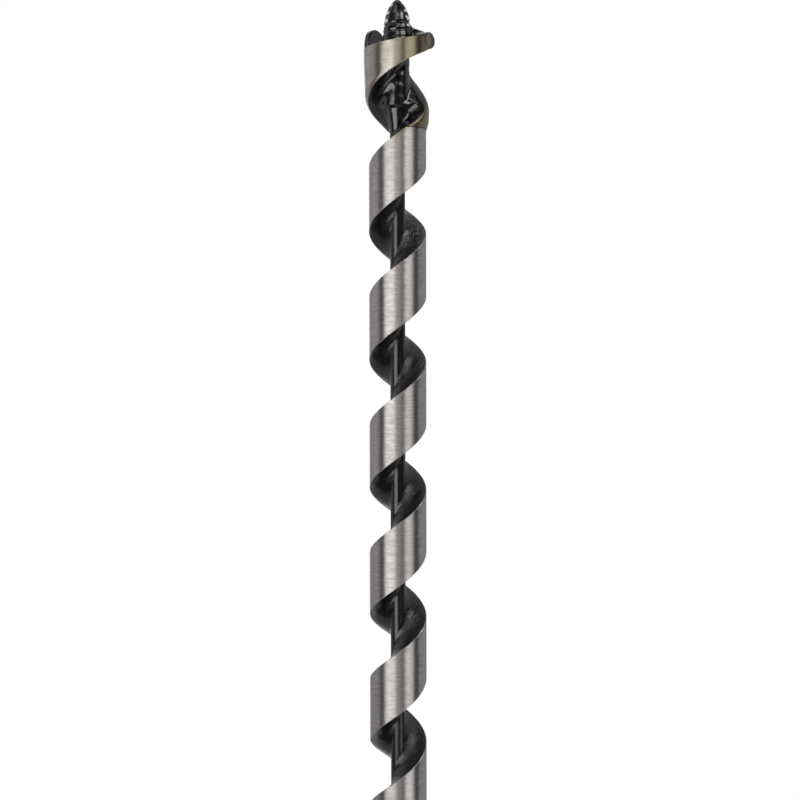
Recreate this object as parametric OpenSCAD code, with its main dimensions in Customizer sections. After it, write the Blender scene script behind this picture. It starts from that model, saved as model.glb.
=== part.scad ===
// Auger bit for wood: hex shank, twisted single-flute body, cutting head and lead screw.
// The origin is the centre of the shank's end face. +Z runs along the axis to the point,
// and the cutting lip lies close to +X. The twist is right-handed.

/* [Overall] */
// Length from the shank's end face to the point of the lead screw
overall_l = 450; // [420:5:600]
// Length of the shank, from its end face to the foot of the twist
shank_l = 90; // [80:5:110]
// Diameter of the hole that the lip's corner and the spur cut
cut_d = 24; // [23.6:0.1:24.6]

/* [Shank] */
// Width of the hexagon across its flats
hex_af = 11.1; // [10:0.1:11.2]
// Length of the hexagon
hex_l = 58; // [40:1:70]
// Diameter of the round neck between hexagon and twist
neck_d = 13; // [13:0.1:14]
// Height of the crown on the shank's end, at the hexagon's corners
end_chamfer = 1.6; // [0.8:0.1:2.4]

/* [Twist] */
// Diameter over the land of the twist
body_d = 18.2; // [17.4:0.1:18.6]
// Diameter of the solid core that shows in the flute
core_d = 4.8; // [4.2:0.1:5.6]
// Rise of the flute in one turn
pitch = 40.75; // [37:0.25:44]
// Share of a turn that the land covers
land_share = 0.49; // [0.45:0.01:0.52]
// Reach of the fillet between the flute's walls and the core
root_fillet = 1.6; // [1.2:0.1:2]
// Length over which the flute runs out at the foot of the twist
runout_l = 34; // [24:1:50]
// Height of the shoulder from the neck to the full land at the foot
shoulder_l = 3; // [2:0.5:6]

/* [Cutting head] */
// Distance from the point back to the seam between head and twist
head_drop = 41; // [40:0.5:44]
// Diameter over the land just behind the lip
head_d = 21.2; // [20.8:0.1:21.4]
// Diameter over the land at the back of the head
head_back_d = 19.9; // [19.4:0.1:20.2]
// Diameter of the stout core in the head
head_core_d = 8.3; // [7.7:0.1:8.4]
// Rise of the head's dished chip floor towards the core, per mm of radius
floor_dish = 1.1; // [0.8:0.1:1.4]
// Distance from the point back to the height where the twist's leading edge meets +X
lip_drop = 12; // [11.8:0.1:12.2]
// Tilt of the ground flank behind the lip, rising towards +X
flank_tilt = 8.9; // [7:0.1:10]
// Angle by which the corner's outer face is turned back from the direction of cut
relief_angle = 28; // [25:1:30]
// Radius of the rounded corner at the outer end of the lip
corner_r = 2.9; // [2.6:0.1:3]
// Thickness of the lip's raised blade
blade_t = 2.6; // [2:0.1:3]

/* [Scoring spur] */
// Angle of the spur's middle, measured from +X
spur_angle = 132; // [128:1:136]
// Radius of the spur's round top
spur_r = 3.4; // [3:0.1:3.8]
// Thickness of the spur in its middle, where its flat inner face is nearest the axis
spur_t = 1.6; // [1.4:0.1:2]
// Height of the spur's top above the lip's reference height
spur_rise = 4.1; // [3.5:0.1:4.4]

/* [Lead screw] */
// Length of the lead screw that stands out of the head
screw_l = 8.8; // [8.4:0.1:9.2]
// Diameter of the lead screw at its foot
screw_d = 8.6; // [8:0.1:8.8]
// Diameter of the plain tang that seats in the head
tang_d = 4.4; // [4:0.1:4.8]
// Length of the tang
tang_l = 10; // [8:0.5:11]

/* [Hidden] */
$fn = 64;

// Heights of the main planes along the axis
head_z = overall_l - head_drop;
lip_z = overall_l - lip_drop;
screw_z = overall_l - screw_l;

// Radii
neck_r = neck_d / 2;
body_r = body_d / 2;
core_r = core_d / 2;
head_r = head_d / 2;
cut_r = cut_d / 2;

// The land steps up to the head over a short cone at the seam, and is full a little behind the lip
step_from_z = head_z - 0.8;
step_to_z = head_z + 2.6;
full_land_z = lip_z - 8;

// The core swells to the head's stout core over a short stretch, which starts a little below the seam
swell_from_z = head_z - 1;
swell_l = 9;

// The boss of the screw is wider than the screw's foot
boss_d = screw_d + 0.8;
boss_z = lip_z - 1.5;

// The chip floor is flat at the seam and fully dished where the chips are lifted
dish_from_z = head_z + 2;
dish_to_z = head_z + 12;

// The flank crosses the axis a little under the lip's reference height, and the skin runs past it
flank_z = lip_z - 2;
skin_top = lip_z + 2;

// The corner's outer face is a plane just inside the head's land, met by the cut circle at its leading edge
face_r = head_r - 0.5;
face_lead = sqrt(cut_r * cut_r - face_r * face_r);
lip_angle = atan2(face_lead, face_r) - relief_angle;
corner_z = lip_z - 0.95;

// Under the lip the wall runs ahead of the twist, from its foot to where it stands upright
wall_foot_z = lip_z - 9;
wall_top_z = lip_z - 2.8;

// The lead screw's ogive: how far past the screw its curve would close, and how full it is
ogive_l = 1.08 * screw_l;
ogive_fullness = 0.65;

// Steps of the twisted skin: along the axis, round the land and the core, and down the flute's walls
ring_step = pitch / 20;
head_ring_step = 1;
land_steps = 12;
core_steps = 6;
wall_shares = [0.6, 0.3, 0.1, 0];

// Angle by which a flute wall opens from the land to the core
wall_fan = 2;

// Radius of the land at height z: shoulder, body, step up to the head, and the head's back taper
function land_radius(z) = lookup(z, [
    [shank_l, neck_r],
    [shank_l + shoulder_l, body_r],
    [step_from_z, body_r],
    [step_to_z, head_back_d / 2],
    [full_land_z, head_r],
]);

// Share of 0 to 1 that eases in and out
function ease(share) =
    let (held = max(0, min(1, share)))
    held * held * (3 - 2 * held);

// Radius of the core at height z: the flute's run-out at the foot, and the swell to the head's stout core
function core_radius(z) =
    lookup(z, [[shank_l, neck_r], [shank_l + runout_l, core_r]])
    + ease((z - swell_from_z) / swell_l) * (head_core_d - core_d) / 2;

// Angle of the twist at height z
function twist_angle(z) = 360 * (z - lip_z) / pitch;

// Angle of the land's leading edge: the twist, and under the lip a thicker wall that ends upright
function lead_angle(z) =
    let (
        share = max(0, min(1, (z - wall_foot_z) / (wall_top_z - wall_foot_z))),
        sweep = lip_angle - twist_angle(wall_top_z)
    )
    twist_angle(min(z, wall_top_z)) + sweep * share * share;

// Angle of the land's trailing edge
function trail_angle(z) = twist_angle(z) - 360 * land_share;

// Point at radius r and angle a, at height z
function polar(r, a, z) = [r * cos(a), r * sin(a), z];

// Radius on a flute wall: share 1 is at the land and 0 at the core
function wall_radius(z, share) = core_radius(z) + share * (land_radius(z) - core_radius(z));

// Angle by which the fillet at the core spreads a flute wall
function wall_spread(z, share) =
    let (rise = share * (land_radius(z) - core_radius(z)))
    root_fillet * exp(-rise / root_fillet) / wall_radius(z, share) * 180 / PI + (1 - share) * wall_fan;

// Angle by which the dished chip floor draws the trailing wall round the core
function dish_angle(z, share) =
    let (dish = lookup(z, [[dish_from_z, 0], [dish_to_z, floor_dish]]))
    360 / pitch * dish * (1 - share) * (land_radius(z) - core_radius(z));

// Angle of the trailing wall
function floor_angle(z, share) = trail_angle(z) + 360 - wall_spread(z, share) - dish_angle(z, share);

// One ring of the skin: land, leading wall, core, trailing wall
function ring(z) =
    let (
        lead = lead_angle(z),
        trail = trail_angle(z),
        core_from = lead + wall_spread(z, 0),
        core_to = floor_angle(z, 0),
        last_share = len(wall_shares) - 1
    )
    concat(
        [for (i = [0 : land_steps]) polar(land_radius(z), trail + (lead - trail) * i / land_steps, z)],
        [for (s = wall_shares) polar(wall_radius(z, s), lead + wall_spread(z, s), z)],
        [for (i = [1 : core_steps - 1])
            polar(core_radius(z), core_from + (core_to - core_from) * i / core_steps, z)],
        [for (k = [last_share : -1 : 0])
            polar(wall_radius(z, wall_shares[k]), floor_angle(z, wall_shares[k]), z)]
    );

// Closed skin over rings at the given heights, with both ends fanned out from the axis
module twisted_skin(heights) {
    rings = [for (z = heights) ring(z)];
    n = len(rings[0]);
    last = len(rings) - 1;
    foot = n * (last + 1);
    crown = foot + 1;
    points = concat([for (r = rings) each r], [[0, 0, heights[0]], [0, 0, heights[last]]]);
    sides = [for (i = [0 : last - 1], j = [0 : n - 1])
        let (a = i * n + j, b = i * n + (j + 1) % n)
        each [[a, a + n, b], [b, a + n, b + n]]];
    ends = [for (j = [0 : n - 1])
        let (k = (j + 1) % n)
        each [[foot, j, k], [crown, last * n + k, last * n + j]]];
    polyhedron(points = points, faces = concat(sides, ends));
}

// Heights of the rings of the twist, from the shank to the seam
function twist_heights() =
    let (
        from = shank_l + shoulder_l,
        to = step_from_z,
        n = ceil((to - from) / ring_step)
    )
    concat([shank_l], [for (i = [0 : n]) from + (to - from) * i / n], [head_z]);

// Heights of the rings of the head, from the seam to above the flank
function head_heights() =
    let (n = ceil((skin_top - head_z) / head_ring_step))
    [for (i = [0 : n]) head_z + (skin_top - head_z) * i / n];

// Everything below the ground flank
module below_flank() {
    depth = head_drop;
    translate([0, 0, flank_z])
        rotate([0, -flank_tilt, 0])
            translate([-cut_d, -cut_d, -depth])
                cube([2 * cut_d, 2 * cut_d, depth]);
}

// Everything behind the upright plane of the lip's leading face
module behind_lip() {
    rotate([0, 0, lip_angle])
        translate([0, -cut_d, head_z])
            cube([cut_d, cut_d, head_drop]);
}

// Rounded corner at the outer end of the lip, with its flat outer face turned back for relief
module lip_corner() {
    corner_depth = 4.5;
    intersection() {
        rotate([0, 0, -relief_angle])
            translate([face_r, face_lead - corner_r, corner_z])
                rotate([0, -90, 0])
                    cylinder(r = corner_r, h = corner_depth);
        behind_lip();
    }
}

// Raised blade of the lip, falling from the foot of the screw to the corner and sloping down behind
module lip_blade() {
    root_z = flank_z - 0.4;
    back_z = flank_z + 1;
    root_r = (tang_d + screw_d) / 4;
    crest_t = 0.8;
    crest_r = screw_d / 2 + 0.8;
    crest_z = screw_z - 0.15;
    shoulder_r = face_r - 1.4;
    shoulder_z = corner_z + corner_r - 0.2;
    end_r = face_r - 0.6;
    rotate([0, 0, lip_angle])
        intersection() {
            rotate([90, 0, 0])
                linear_extrude(2 * blade_t)
                    polygon([
                        [root_r, root_z],
                        [end_r, root_z],
                        [end_r, corner_z],
                        [shoulder_r, shoulder_z],
                        [crest_r, crest_z],
                        [root_r, crest_z],
                    ]);
            rotate([90, 0, 90])
                linear_extrude(cut_r)
                    polygon([
                        [0, root_z],
                        [0, screw_z],
                        [-crest_t, screw_z],
                        [-blade_t, back_z],
                        [-blade_t, root_z],
                    ]);
        }
}

// Outline of the spur as seen from the axis: upright sides and a round top
module spur_outline(root_z, top_z) {
    translate([0, top_z - spur_r])
        circle(r = spur_r);
    translate([-spur_r, root_z])
        square([2 * spur_r, top_z - spur_r - root_z]);
}

// Scoring spur: an upright lobe of the land's wall that leans out to the cut circle, flat on its inner side
module scoring_spur() {
    edge_inset = 0.1;
    top_z = lip_z + spur_rise;
    root_z = wall_foot_z;
    root_r = head_r - edge_inset;
    lean_r = cut_r - edge_inset;
    rotate([0, 0, spur_angle])
        intersection() {
            rotate([90, 0, 90])
                linear_extrude(cut_r)
                    spur_outline(root_z, top_z);
            translate([0, 0, root_z])
                cylinder(r1 = root_r, r2 = lean_r, h = top_z - root_z);
            rotate([90, 0, 0])
                linear_extrude(cut_d, center = true)
                    polygon([
                        [root_r - spur_t, root_z],
                        [cut_r, root_z],
                        [cut_r, top_z],
                        [lean_r - spur_t, top_z],
                    ]);
        }
}

// Round boss that carries the lead screw: it leaves the core in a flare and narrows to the screw's foot
module screw_boss() {
    flare_h = 4;
    flare_d = head_core_d - 1.2;
    translate([0, 0, boss_z - flare_h])
        cylinder(d1 = flare_d, d2 = boss_d, h = flare_h);
    translate([0, 0, boss_z])
        cylinder(d1 = boss_d, d2 = screw_d, h = screw_z - boss_z);
}

// Outline of the lead screw on one side of the axis, at distance h from the point: a blunt ogive
function ogive_radius(h) = screw_d / 2 * pow(1 - pow(1 - h / ogive_l, 2), ogive_fullness);

// Hex shank with a crowned end, and the round neck that is welded to the twist. The crown is a ball through
// the rim of the end face and the hexagon's corners, and the flats run out against the neck's domed end
module shank() {
    flat_r = hex_af / 2;
    hex_r = flat_r / cos(30);
    end_r = flat_r - 0.5;
    crown_z = (hex_r * hex_r + end_chamfer * end_chamfer - end_r * end_r) / (2 * end_chamfer);
    crown_r = norm([end_r, crown_z]);
    runout_h = 2;
    dome_z = hex_l + (neck_r * neck_r - flat_r * flat_r - runout_h * runout_h) / (2 * runout_h);
    dome_r = norm([neck_r, dome_z - hex_l]);
    color([0.24, 0.24, 0.25]) {
        intersection() {
            cylinder(r = hex_r, h = dome_z, $fn = 6);
            ball_ended_bar(crown_z, crown_r, dome_z);
        }
        intersection() {
            cylinder(r = neck_r, h = shank_l);
            ball_ended_bar(dome_z, dome_r, shank_l);
        }
    }
}

// Round bar from a ball at ball_z up to top_z
module ball_ended_bar(ball_z, r, top_z) {
    translate([0, 0, ball_z]) {
        sphere(r = r);
        cylinder(r = r, h = top_z - ball_z);
    }
}

// Twisted body: one helical land round a slim core, ending in a round foot
module twist() {
    color([0.66, 0.65, 0.63])
        twisted_skin(twist_heights());
}

// Cutting head: the twist carried on at a larger diameter to the lip, the spur and the screw's boss
module cutting_head() {
    color([0.62, 0.57, 0.43])
        difference() {
            union() {
                intersection() {
                    twisted_skin(head_heights());
                    below_flank();
                }
                lip_corner();
                lip_blade();
                scoring_spur();
                screw_boss();
            }
            translate([0, 0, screw_z - tang_l])
                cylinder(d = tang_d, h = tang_l + 1);
        }
}

// Lead screw: a blunt ogive on a plain tang
module lead_screw() {
    steps = 12;
    point_crowding = 1.6;
    color([0.17, 0.17, 0.17]) {
        rotate_extrude()
            polygon(concat(
                [[0, screw_z]],
                [for (i = [steps : -1 : 1])
                    let (h = screw_l * pow(i / steps, point_crowding))
                    [ogive_radius(h), overall_l - h]],
                [[0, overall_l]]
            ));
        translate([0, 0, screw_z - tang_l])
            cylinder(d = tang_d, h = tang_l);
    }
}

shank();
twist();
cutting_head();
lead_screw();
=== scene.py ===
"""Dresses the auger bit: hex shank, ground twist, straw-tinted cutting head and threaded lead screw.

Sizes are millimetres along the bit's own axis, with the origin at the shank's end face, +Z towards the point
and the cutting lip close to +X. Meshes are written in metres, in the frame of the solids that they stand for.
"""

import logging
import math
from dataclasses import dataclass, field
from enum import Enum
from functools import cached_property
from typing import Callable, Sequence

import bpy
import numpy as np
from mathutils import Matrix


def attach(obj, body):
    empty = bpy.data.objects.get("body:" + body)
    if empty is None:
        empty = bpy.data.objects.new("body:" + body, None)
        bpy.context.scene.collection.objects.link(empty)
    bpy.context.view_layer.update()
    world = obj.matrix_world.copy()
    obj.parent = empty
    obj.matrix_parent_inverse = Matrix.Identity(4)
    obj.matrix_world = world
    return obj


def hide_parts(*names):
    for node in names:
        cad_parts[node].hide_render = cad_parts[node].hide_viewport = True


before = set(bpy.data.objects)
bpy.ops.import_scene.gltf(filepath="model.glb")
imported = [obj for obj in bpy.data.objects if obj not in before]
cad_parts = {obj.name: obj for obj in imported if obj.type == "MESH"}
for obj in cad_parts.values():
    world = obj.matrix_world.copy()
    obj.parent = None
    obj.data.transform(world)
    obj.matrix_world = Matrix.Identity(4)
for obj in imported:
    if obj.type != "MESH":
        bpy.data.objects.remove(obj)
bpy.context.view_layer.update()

LOG = logging.getLogger("auger_bit")
MM = 0.001
TURN = 2 * math.pi
TINY = 1e-9

Colour = tuple[float, float, float]
Span = tuple[float, float]
Socket = bpy.types.NodeSocket


class Slot(Enum):
    """Names for material slots, one for each piece; no piece here is given one."""

    SHANK = "shank_steel"
    TWIST = "twist_steel"
    HEAD = "head_steel"
    SCREW = "screw_steel"


class Tone(Enum):
    """Colours of the studio's cards."""

    WARM = (1.0, 0.92, 0.88)
    COOL = (1.0, 0.97, 1.03)


@dataclass(frozen=True)
class BitSizes:
    """The bit's driving sizes, in millimetres and degrees."""

    overall_l: float = 450.0
    shank_l: float = 90.0
    cut_d: float = 24.0
    hex_af: float = 11.1
    hex_l: float = 58.0
    neck_d: float = 13.0
    end_crown: float = 1.6
    body_d: float = 18.2
    core_d: float = 4.8
    pitch: float = 40.75
    land_share: float = 0.49
    root_fillet: float = 1.6
    runout_l: float = 34.0
    shoulder_l: float = 3.0
    head_drop: float = 41.0
    head_d: float = 21.2
    head_back_d: float = 19.9
    head_core_d: float = 8.3
    floor_dish: float = 1.0
    lip_drop: float = 12.0
    flank_tilt: float = 8.9
    flank_drop: float = 2.0
    relief_angle: float = 28.0
    face_inset: float = 0.5
    corner_r: float = 2.9
    blade_t: float = 2.6
    spur_angle: float = 132.0
    spur_rise: float = 4.1
    wall_foot_drop: float = 9.0
    wall_top_drop: float = 2.8
    step_below: float = 0.8
    step_above: float = 2.6
    screw_l: float = 8.8
    screw_d: float = 8.6
    tang_d: float = 4.4
    tang_l: float = 10.0

    @property
    def head_z(self) -> float:
        """Height of the seam between twist and head."""
        return self.overall_l - self.head_drop

    @property
    def lip_z(self) -> float:
        """Height where the twist's leading edge meets +X."""
        return self.overall_l - self.lip_drop

    @property
    def screw_z(self) -> float:
        """Height of the lead screw's foot."""
        return self.overall_l - self.screw_l

    @property
    def wall_foot_z(self) -> float:
        """Height from which the wall under the lip and the spur rise."""
        return self.lip_z - self.wall_foot_drop

    @property
    def face_r(self) -> float:
        """Distance of the corner's outer face from the axis."""
        return self.head_d / 2 - self.face_inset

    @property
    def lip_angle(self) -> float:
        """Angle of the lip from +X: the corner's leading edge lies on the cut circle."""
        lead = math.sqrt((self.cut_d / 2) ** 2 - self.face_r ** 2)
        return math.degrees(math.atan2(lead, self.face_r)) - self.relief_angle

    @property
    def seam_step(self) -> Span:
        """Heights between which the land steps up from the twist to the head."""
        return self.head_z - self.step_below, self.head_z + self.step_above


class Bench:
    """A node tree under construction, with short calls for the nodes that the trees here share."""

    def __init__(self, tree: bpy.types.NodeTree) -> None:
        """Starts on a tree.

        Args:
            tree: the shader or geometry tree to add nodes to.
        """
        self.tree = tree

    def node(self, kind: str, **settings: object) -> bpy.types.Node:
        """Adds a node.

        Args:
            kind: the node's type name.
            settings: properties to set on it.

        Returns:
            The new node.
        """
        made = self.tree.nodes.new(kind)
        for name, value in settings.items():
            setattr(made, name, value)
        return made

    def feed(self, target: Socket, value: object) -> None:
        """Links a socket to an input, or sets the input's own value.

        Args:
            target: the input.
            value: a socket to link, or a plain value.
        """
        if isinstance(value, bpy.types.NodeSocket):
            self.tree.links.new(value, target)
        else:
            target.default_value = value

    def wired(self, kind: str, inputs: dict[int | str, object], **settings: object) -> bpy.types.Node:
        """Adds a node with its inputs linked or set.

        Args:
            kind: the node's type name.
            inputs: a socket or a plain value for each input, by the input's name or number.
            settings: properties to set on the node.

        Returns:
            The new node.
        """
        made = self.node(kind, **settings)
        for key, value in inputs.items():
            self.feed(made.inputs[key], value)
        return made

    def math(self, operation: str, *values: object) -> Socket:
        """Works out a number from up to three sockets or numbers."""
        return self.wired("ShaderNodeMath", dict(enumerate(values)), operation=operation).outputs[0]

    def vector(self, operation: str, *values: object) -> bpy.types.Node:
        """Adds a vector maths node, which has a vector and a number as outputs."""
        return self.wired("ShaderNodeVectorMath", dict(enumerate(values)), operation=operation)

    def scaled(self, vector: Socket, by: Sequence[float]) -> Socket:
        """Returns a vector multiplied by three factors."""
        return self.vector("MULTIPLY", vector, tuple(by)).outputs[0]

    def split(self, vector: Socket) -> tuple[Socket, Socket, Socket]:
        """Takes a vector apart into its three parts."""
        return tuple(self.wired("ShaderNodeSeparateXYZ", {0: vector}).outputs)

    def joined(self, x: object, y: object, z: object) -> Socket:
        """Makes a vector of three parts, each a socket or a number."""
        return self.wired("ShaderNodeCombineXYZ", {"X": x, "Y": y, "Z": z}).outputs[0]

    def grown(self, vector: Socket, by: Socket) -> Socket:
        """Scales a vector by one number."""
        return self.wired("ShaderNodeVectorMath", {0: vector, "Scale": by}, operation="SCALE").outputs[0]

    def turned(self, vector: Socket, angle: object) -> Socket:
        """Turns a vector about Z by an angle in radians, a socket or a number."""
        inputs = {"Vector": vector, "Angle": angle}
        return self.wired("ShaderNodeVectorRotate", inputs, rotation_type="Z_AXIS").outputs[0]

    def ranged(self, value: Socket, low: object, high: object, to_low: object = 0.0, to_high: object = 1.0,
               smooth: bool = False) -> Socket:
        """Maps a value from one range to another and holds it at the ends.

        Args:
            value: the socket to map.
            low: start of the range.
            high: end of the range.
            to_low: result at the start.
            to_high: result at the end.
            smooth: whether the result eases in and out.

        Returns:
            The mapped value.
        """
        easing = "SMOOTHSTEP" if smooth else "LINEAR"
        inputs = dict(enumerate((value, low, high, to_low, to_high)))
        return self.wired("ShaderNodeMapRange", inputs, interpolation_type=easing).outputs[0]


def blank_material(name: str) -> bpy.types.Material:
    """Starts a material that is made of nodes.

    Args:
        name: the material's name.

    Returns:
        The material, with a plain surface.
    """
    material = bpy.data.materials.new(name)
    material.use_nodes = True
    return material


@dataclass(frozen=True)
class Noise:
    """A noise: cycles per millimetre along the three axes, number of finer layers, and their weight."""

    stretch: tuple[float, float, float]
    detail: float = 2.0
    rough: float = 0.5


class Shader(Bench):
    """One finish's material, read in object coordinates that are scaled to millimetres."""

    def __init__(self, name: str) -> None:
        """Starts a material with a single surface shader.

        Args:
            name: the material's name.
        """
        self.material = blank_material(name)
        super().__init__(self.material.node_tree)
        self.surface = self.tree.nodes["Principled BSDF"]
        self.place = self.scaled(self.node("ShaderNodeTexCoord").outputs["Object"], (1 / MM,) * 3)
        self.x, self.y, self.z = self.split(self.place)

    def radius(self) -> Socket:
        """Returns the distance from the bit's axis."""
        return self.vector("LENGTH", self.joined(self.x, self.y, 0.0)).outputs["Value"]

    def untwisted(self, sizes: BitSizes) -> Socket:
        """Returns the place with the twist taken out, so that a pattern read there follows the flute."""
        rise = self.math("SUBTRACT", self.z, sizes.lip_z)
        return self.turned(self.place, self.math("MULTIPLY", rise, -TURN / sizes.pitch))

    def noise(self, place: Socket, kind: Noise) -> Socket:
        """Adds a noise.

        Args:
            place: where the noise is read.
            kind: its scale and layers.

        Returns:
            The noise's value, from 0 to 1.
        """
        made = self.wired("ShaderNodeTexNoise", {
            "Vector": self.scaled(place, kind.stretch),
            "Scale": 1.0,
            "Detail": kind.detail,
            "Roughness": kind.rough,
        })
        return made.outputs["Fac"]

    def attribute(self, name: str) -> Socket:
        """Returns a number that the mesh carries under that name."""
        return self.node("ShaderNodeAttribute", attribute_name=name).outputs["Fac"]

    def blend(self, share: object, first: object, second: object) -> Socket:
        """Mixes two colours.

        Args:
            share: share of the second colour.
            first: a colour or a socket.
            second: a colour or a socket.

        Returns:
            The mixed colour.
        """
        made = self.node("ShaderNodeMix", data_type="RGBA")
        for name, value in (("Factor_Float", share), ("A_Color", first), ("B_Color", second)):
            target = next(s for s in made.inputs if s.identifier == name)
            self.feed(target, (*value, 1.0) if isinstance(value, tuple) else value)
        return next(s for s in made.outputs if s.identifier == "Result_Color")

    def relief(self, height: Socket, depth: float, below: Socket | None = None) -> Socket:
        """Adds a bump.

        Args:
            height: the pattern, from 0 to 1.
            depth: height of the full pattern in millimetres.
            below: the normal of an earlier bump to add to.

        Returns:
            The bent normal.
        """
        made = self.wired("ShaderNodeBump", {"Strength": 1.0, "Distance": depth * MM, "Height": height})
        if below is not None:
            self.feed(made.inputs["Normal"], below)
        return made.outputs[0]

    def finish(self, colour: object, metal: object, rough: object, normal: Socket, ior: float = 1.5) -> None:
        """Wires the surface.

        Args:
            colour: base colour.
            metal: share of bare metal.
            rough: roughness.
            normal: bent normal.
            ior: refractive index, which sets the plain reflection where the surface isn't bare metal.
        """
        self.feed(self.surface.inputs["Base Color"], (*colour, 1.0) if isinstance(colour, tuple) else colour)
        self.feed(self.surface.inputs["Metallic"], metal)
        self.feed(self.surface.inputs["Roughness"], rough)
        self.feed(self.surface.inputs["Normal"], normal)
        self.surface.inputs["IOR"].default_value = ior


@dataclass(frozen=True)
class GroundSteel:
    """Steel ground across the axis: rings of fine scratches that draw reflections out along the axis."""

    name: str
    bright: Colour
    dull: Colour
    tint: Colour
    tint_share: float
    rough: float = 0.42
    rough_spread: float = 0.05
    stretch: float = 0.9
    stretch_turn: float = 0.25
    line_turn: float = 0.035
    lines: Noise = Noise((0.25, 0.25, 2.0), 3.0, 0.7)
    line_span: Span = (0.35, 0.65)
    lean_span: Span = (0.25, 0.75)
    rough_span: Span = (0.3, 0.7)
    patches: Noise = Noise((0.16, 0.16, 0.16), 3.0)
    patch_span: Span = (0.35, 0.65)

    def material(self, tinted: Callable[[Shader], Socket] | None = None) -> bpy.types.Material:
        """Builds the material.

        Args:
            tinted: gives the share of temper tint at a place, on top of the tint's own patches.

        Returns:
            The material.
        """
        shader = Shader(self.name)
        lines = shader.noise(shader.place, self.lines)
        patch = shader.noise(shader.place, self.patches)
        share = shader.ranged(patch, *self.patch_span, 0.0, self.tint_share)
        if tinted is not None:
            share = shader.math("MAXIMUM", share, tinted(shader))
        steel = shader.blend(shader.ranged(lines, *self.line_span), self.dull, self.bright)
        lean = shader.ranged(lines, *self.lean_span, -self.line_turn, self.line_turn)
        roughest, smoothest = self.rough + self.rough_spread, self.rough - self.rough_spread
        shader.finish(
            shader.blend(share, steel, self.tint),
            1.0,
            shader.ranged(lines, *self.rough_span, roughest, smoothest),
            shader.turned(shader.node("ShaderNodeNewGeometry").outputs["Normal"], lean),
        )
        around = shader.node("ShaderNodeTangent", direction_type="RADIAL", axis="Z")
        shader.feed(shader.surface.inputs["Tangent"], around.outputs[0])
        shader.surface.inputs["Anisotropic"].default_value = self.stretch
        shader.surface.inputs["Anisotropic Rotation"].default_value = self.stretch_turn
        return shader.material


@dataclass(frozen=True)
class BlackOxide:
    """Black oxide sealed with lacquer: milling streaks along the flute, specks of bare scale, and lighter
    scale on the up-facing floor that follows milling marks and is partly a painted sheen.
    """

    name: str
    dark: Colour
    light: Colour
    smoothest: float
    roughest: float
    ior: float
    speck_colour: Colour
    speck_share: float
    scale_sheen_share: float
    grain_depth: float
    wave_depth: float
    speck_edge: float = 0.05
    speck_drop: float = 62.0
    scale_sheen_colour: Colour = (0.035, 0.035, 0.034)
    scale_rough: float = 0.05
    floor_rise: Span = (0.05, 0.4)
    streaks: Noise = Noise((1.7, 1.7, 0.1), 3.0, 0.6)
    streak_span: Span = (0.35, 0.7)
    gloss_span: Span = (0.3, 0.7)
    grain: Noise = Noise((2.8, 2.8, 1.5), 2.0, 0.7)
    waves: Noise = Noise((0.3, 0.3, 0.12), 1.0)
    marks: Noise = Noise((0.5, 0.12, 0.0), 4.0, 0.65)
    mark_span: Span = (0.42, 0.7)
    wear_and_painted_light_span: Span = (0.35, 0.6)
    wear_and_painted_light_least: float = 0.45
    lit_span: Span = (0.4, 0.6)
    unlit_grain: float = 0.25
    far_grain: float = 0.85

    def material(self, sizes: BitSizes) -> bpy.types.Material:
        """Builds the material.

        Args:
            sizes: the bit's sizes, whose pitch the streaks follow.

        Returns:
            The material.
        """
        shader = Shader(self.name)
        along = shader.untwisted(sizes)
        streaks = shader.noise(along, self.streaks)
        grain = shader.noise(along, self.grain)
        waves = shader.noise(along, self.waves)
        _, _, rise = shader.split(shader.node("ShaderNodeNewGeometry").outputs["Normal"])
        floor = shader.ranged(rise, *self.floor_rise)
        near_head = shader.ranged(shader.z, sizes.head_z - self.speck_drop, sizes.head_z)
        rare = 1.0 - self.speck_share
        sparse = shader.ranged(grain, rare, rare + self.speck_edge)
        specks = shader.math("MULTIPLY", shader.math("MULTIPLY", sparse, floor), near_head)
        radius = shader.radius()
        slope = shader.joined(shader.math("SUBTRACT", shader.z, radius), radius, 0.0)
        marks = shader.noise(slope, self.marks)
        # Lighter scale along the milling marks on the up-facing floor: partly the marks themselves, partly a
        # painted sheen that stands for overhead light on the floor. Grain breaks it up below.
        scale = shader.math("MULTIPLY", shader.ranged(marks, *self.mark_span, 0.0, self.scale_sheen_share), floor)
        scale = shader.math("MULTIPLY", scale, shader.ranged(grain, *self.wear_and_painted_light_span, self.wear_and_painted_light_least, 1.0))
        black = shader.blend(shader.ranged(streaks, *self.streak_span), self.dark, self.light)
        black = shader.blend(scale, black, self.scale_sheen_colour)
        uneven = shader.relief(waves, self.wave_depth)
        gloss = shader.ranged(streaks, *self.gloss_span, self.smoothest, self.roughest)
        lit = shader.math("MULTIPLY", floor, shader.ranged(marks, *self.lit_span))
        sparkle = shader.math("MULTIPLY", grain, shader.ranged(lit, 0.0, 1.0, self.unlit_grain, 1.0))
        sparkle = shader.math("MULTIPLY", sparkle, shader.ranged(near_head, 0.0, 1.0, self.far_grain, 1.0))
        duller = shader.math("MULTIPLY", floor, self.scale_rough * self.scale_sheen_share)
        shader.finish(
            shader.blend(specks, black, self.speck_colour),
            specks,
            shader.math("ADD", gloss, duller),
            shader.relief(sparkle, self.grain_depth, uneven),
            self.ior,
        )
        return shader.material


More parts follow.
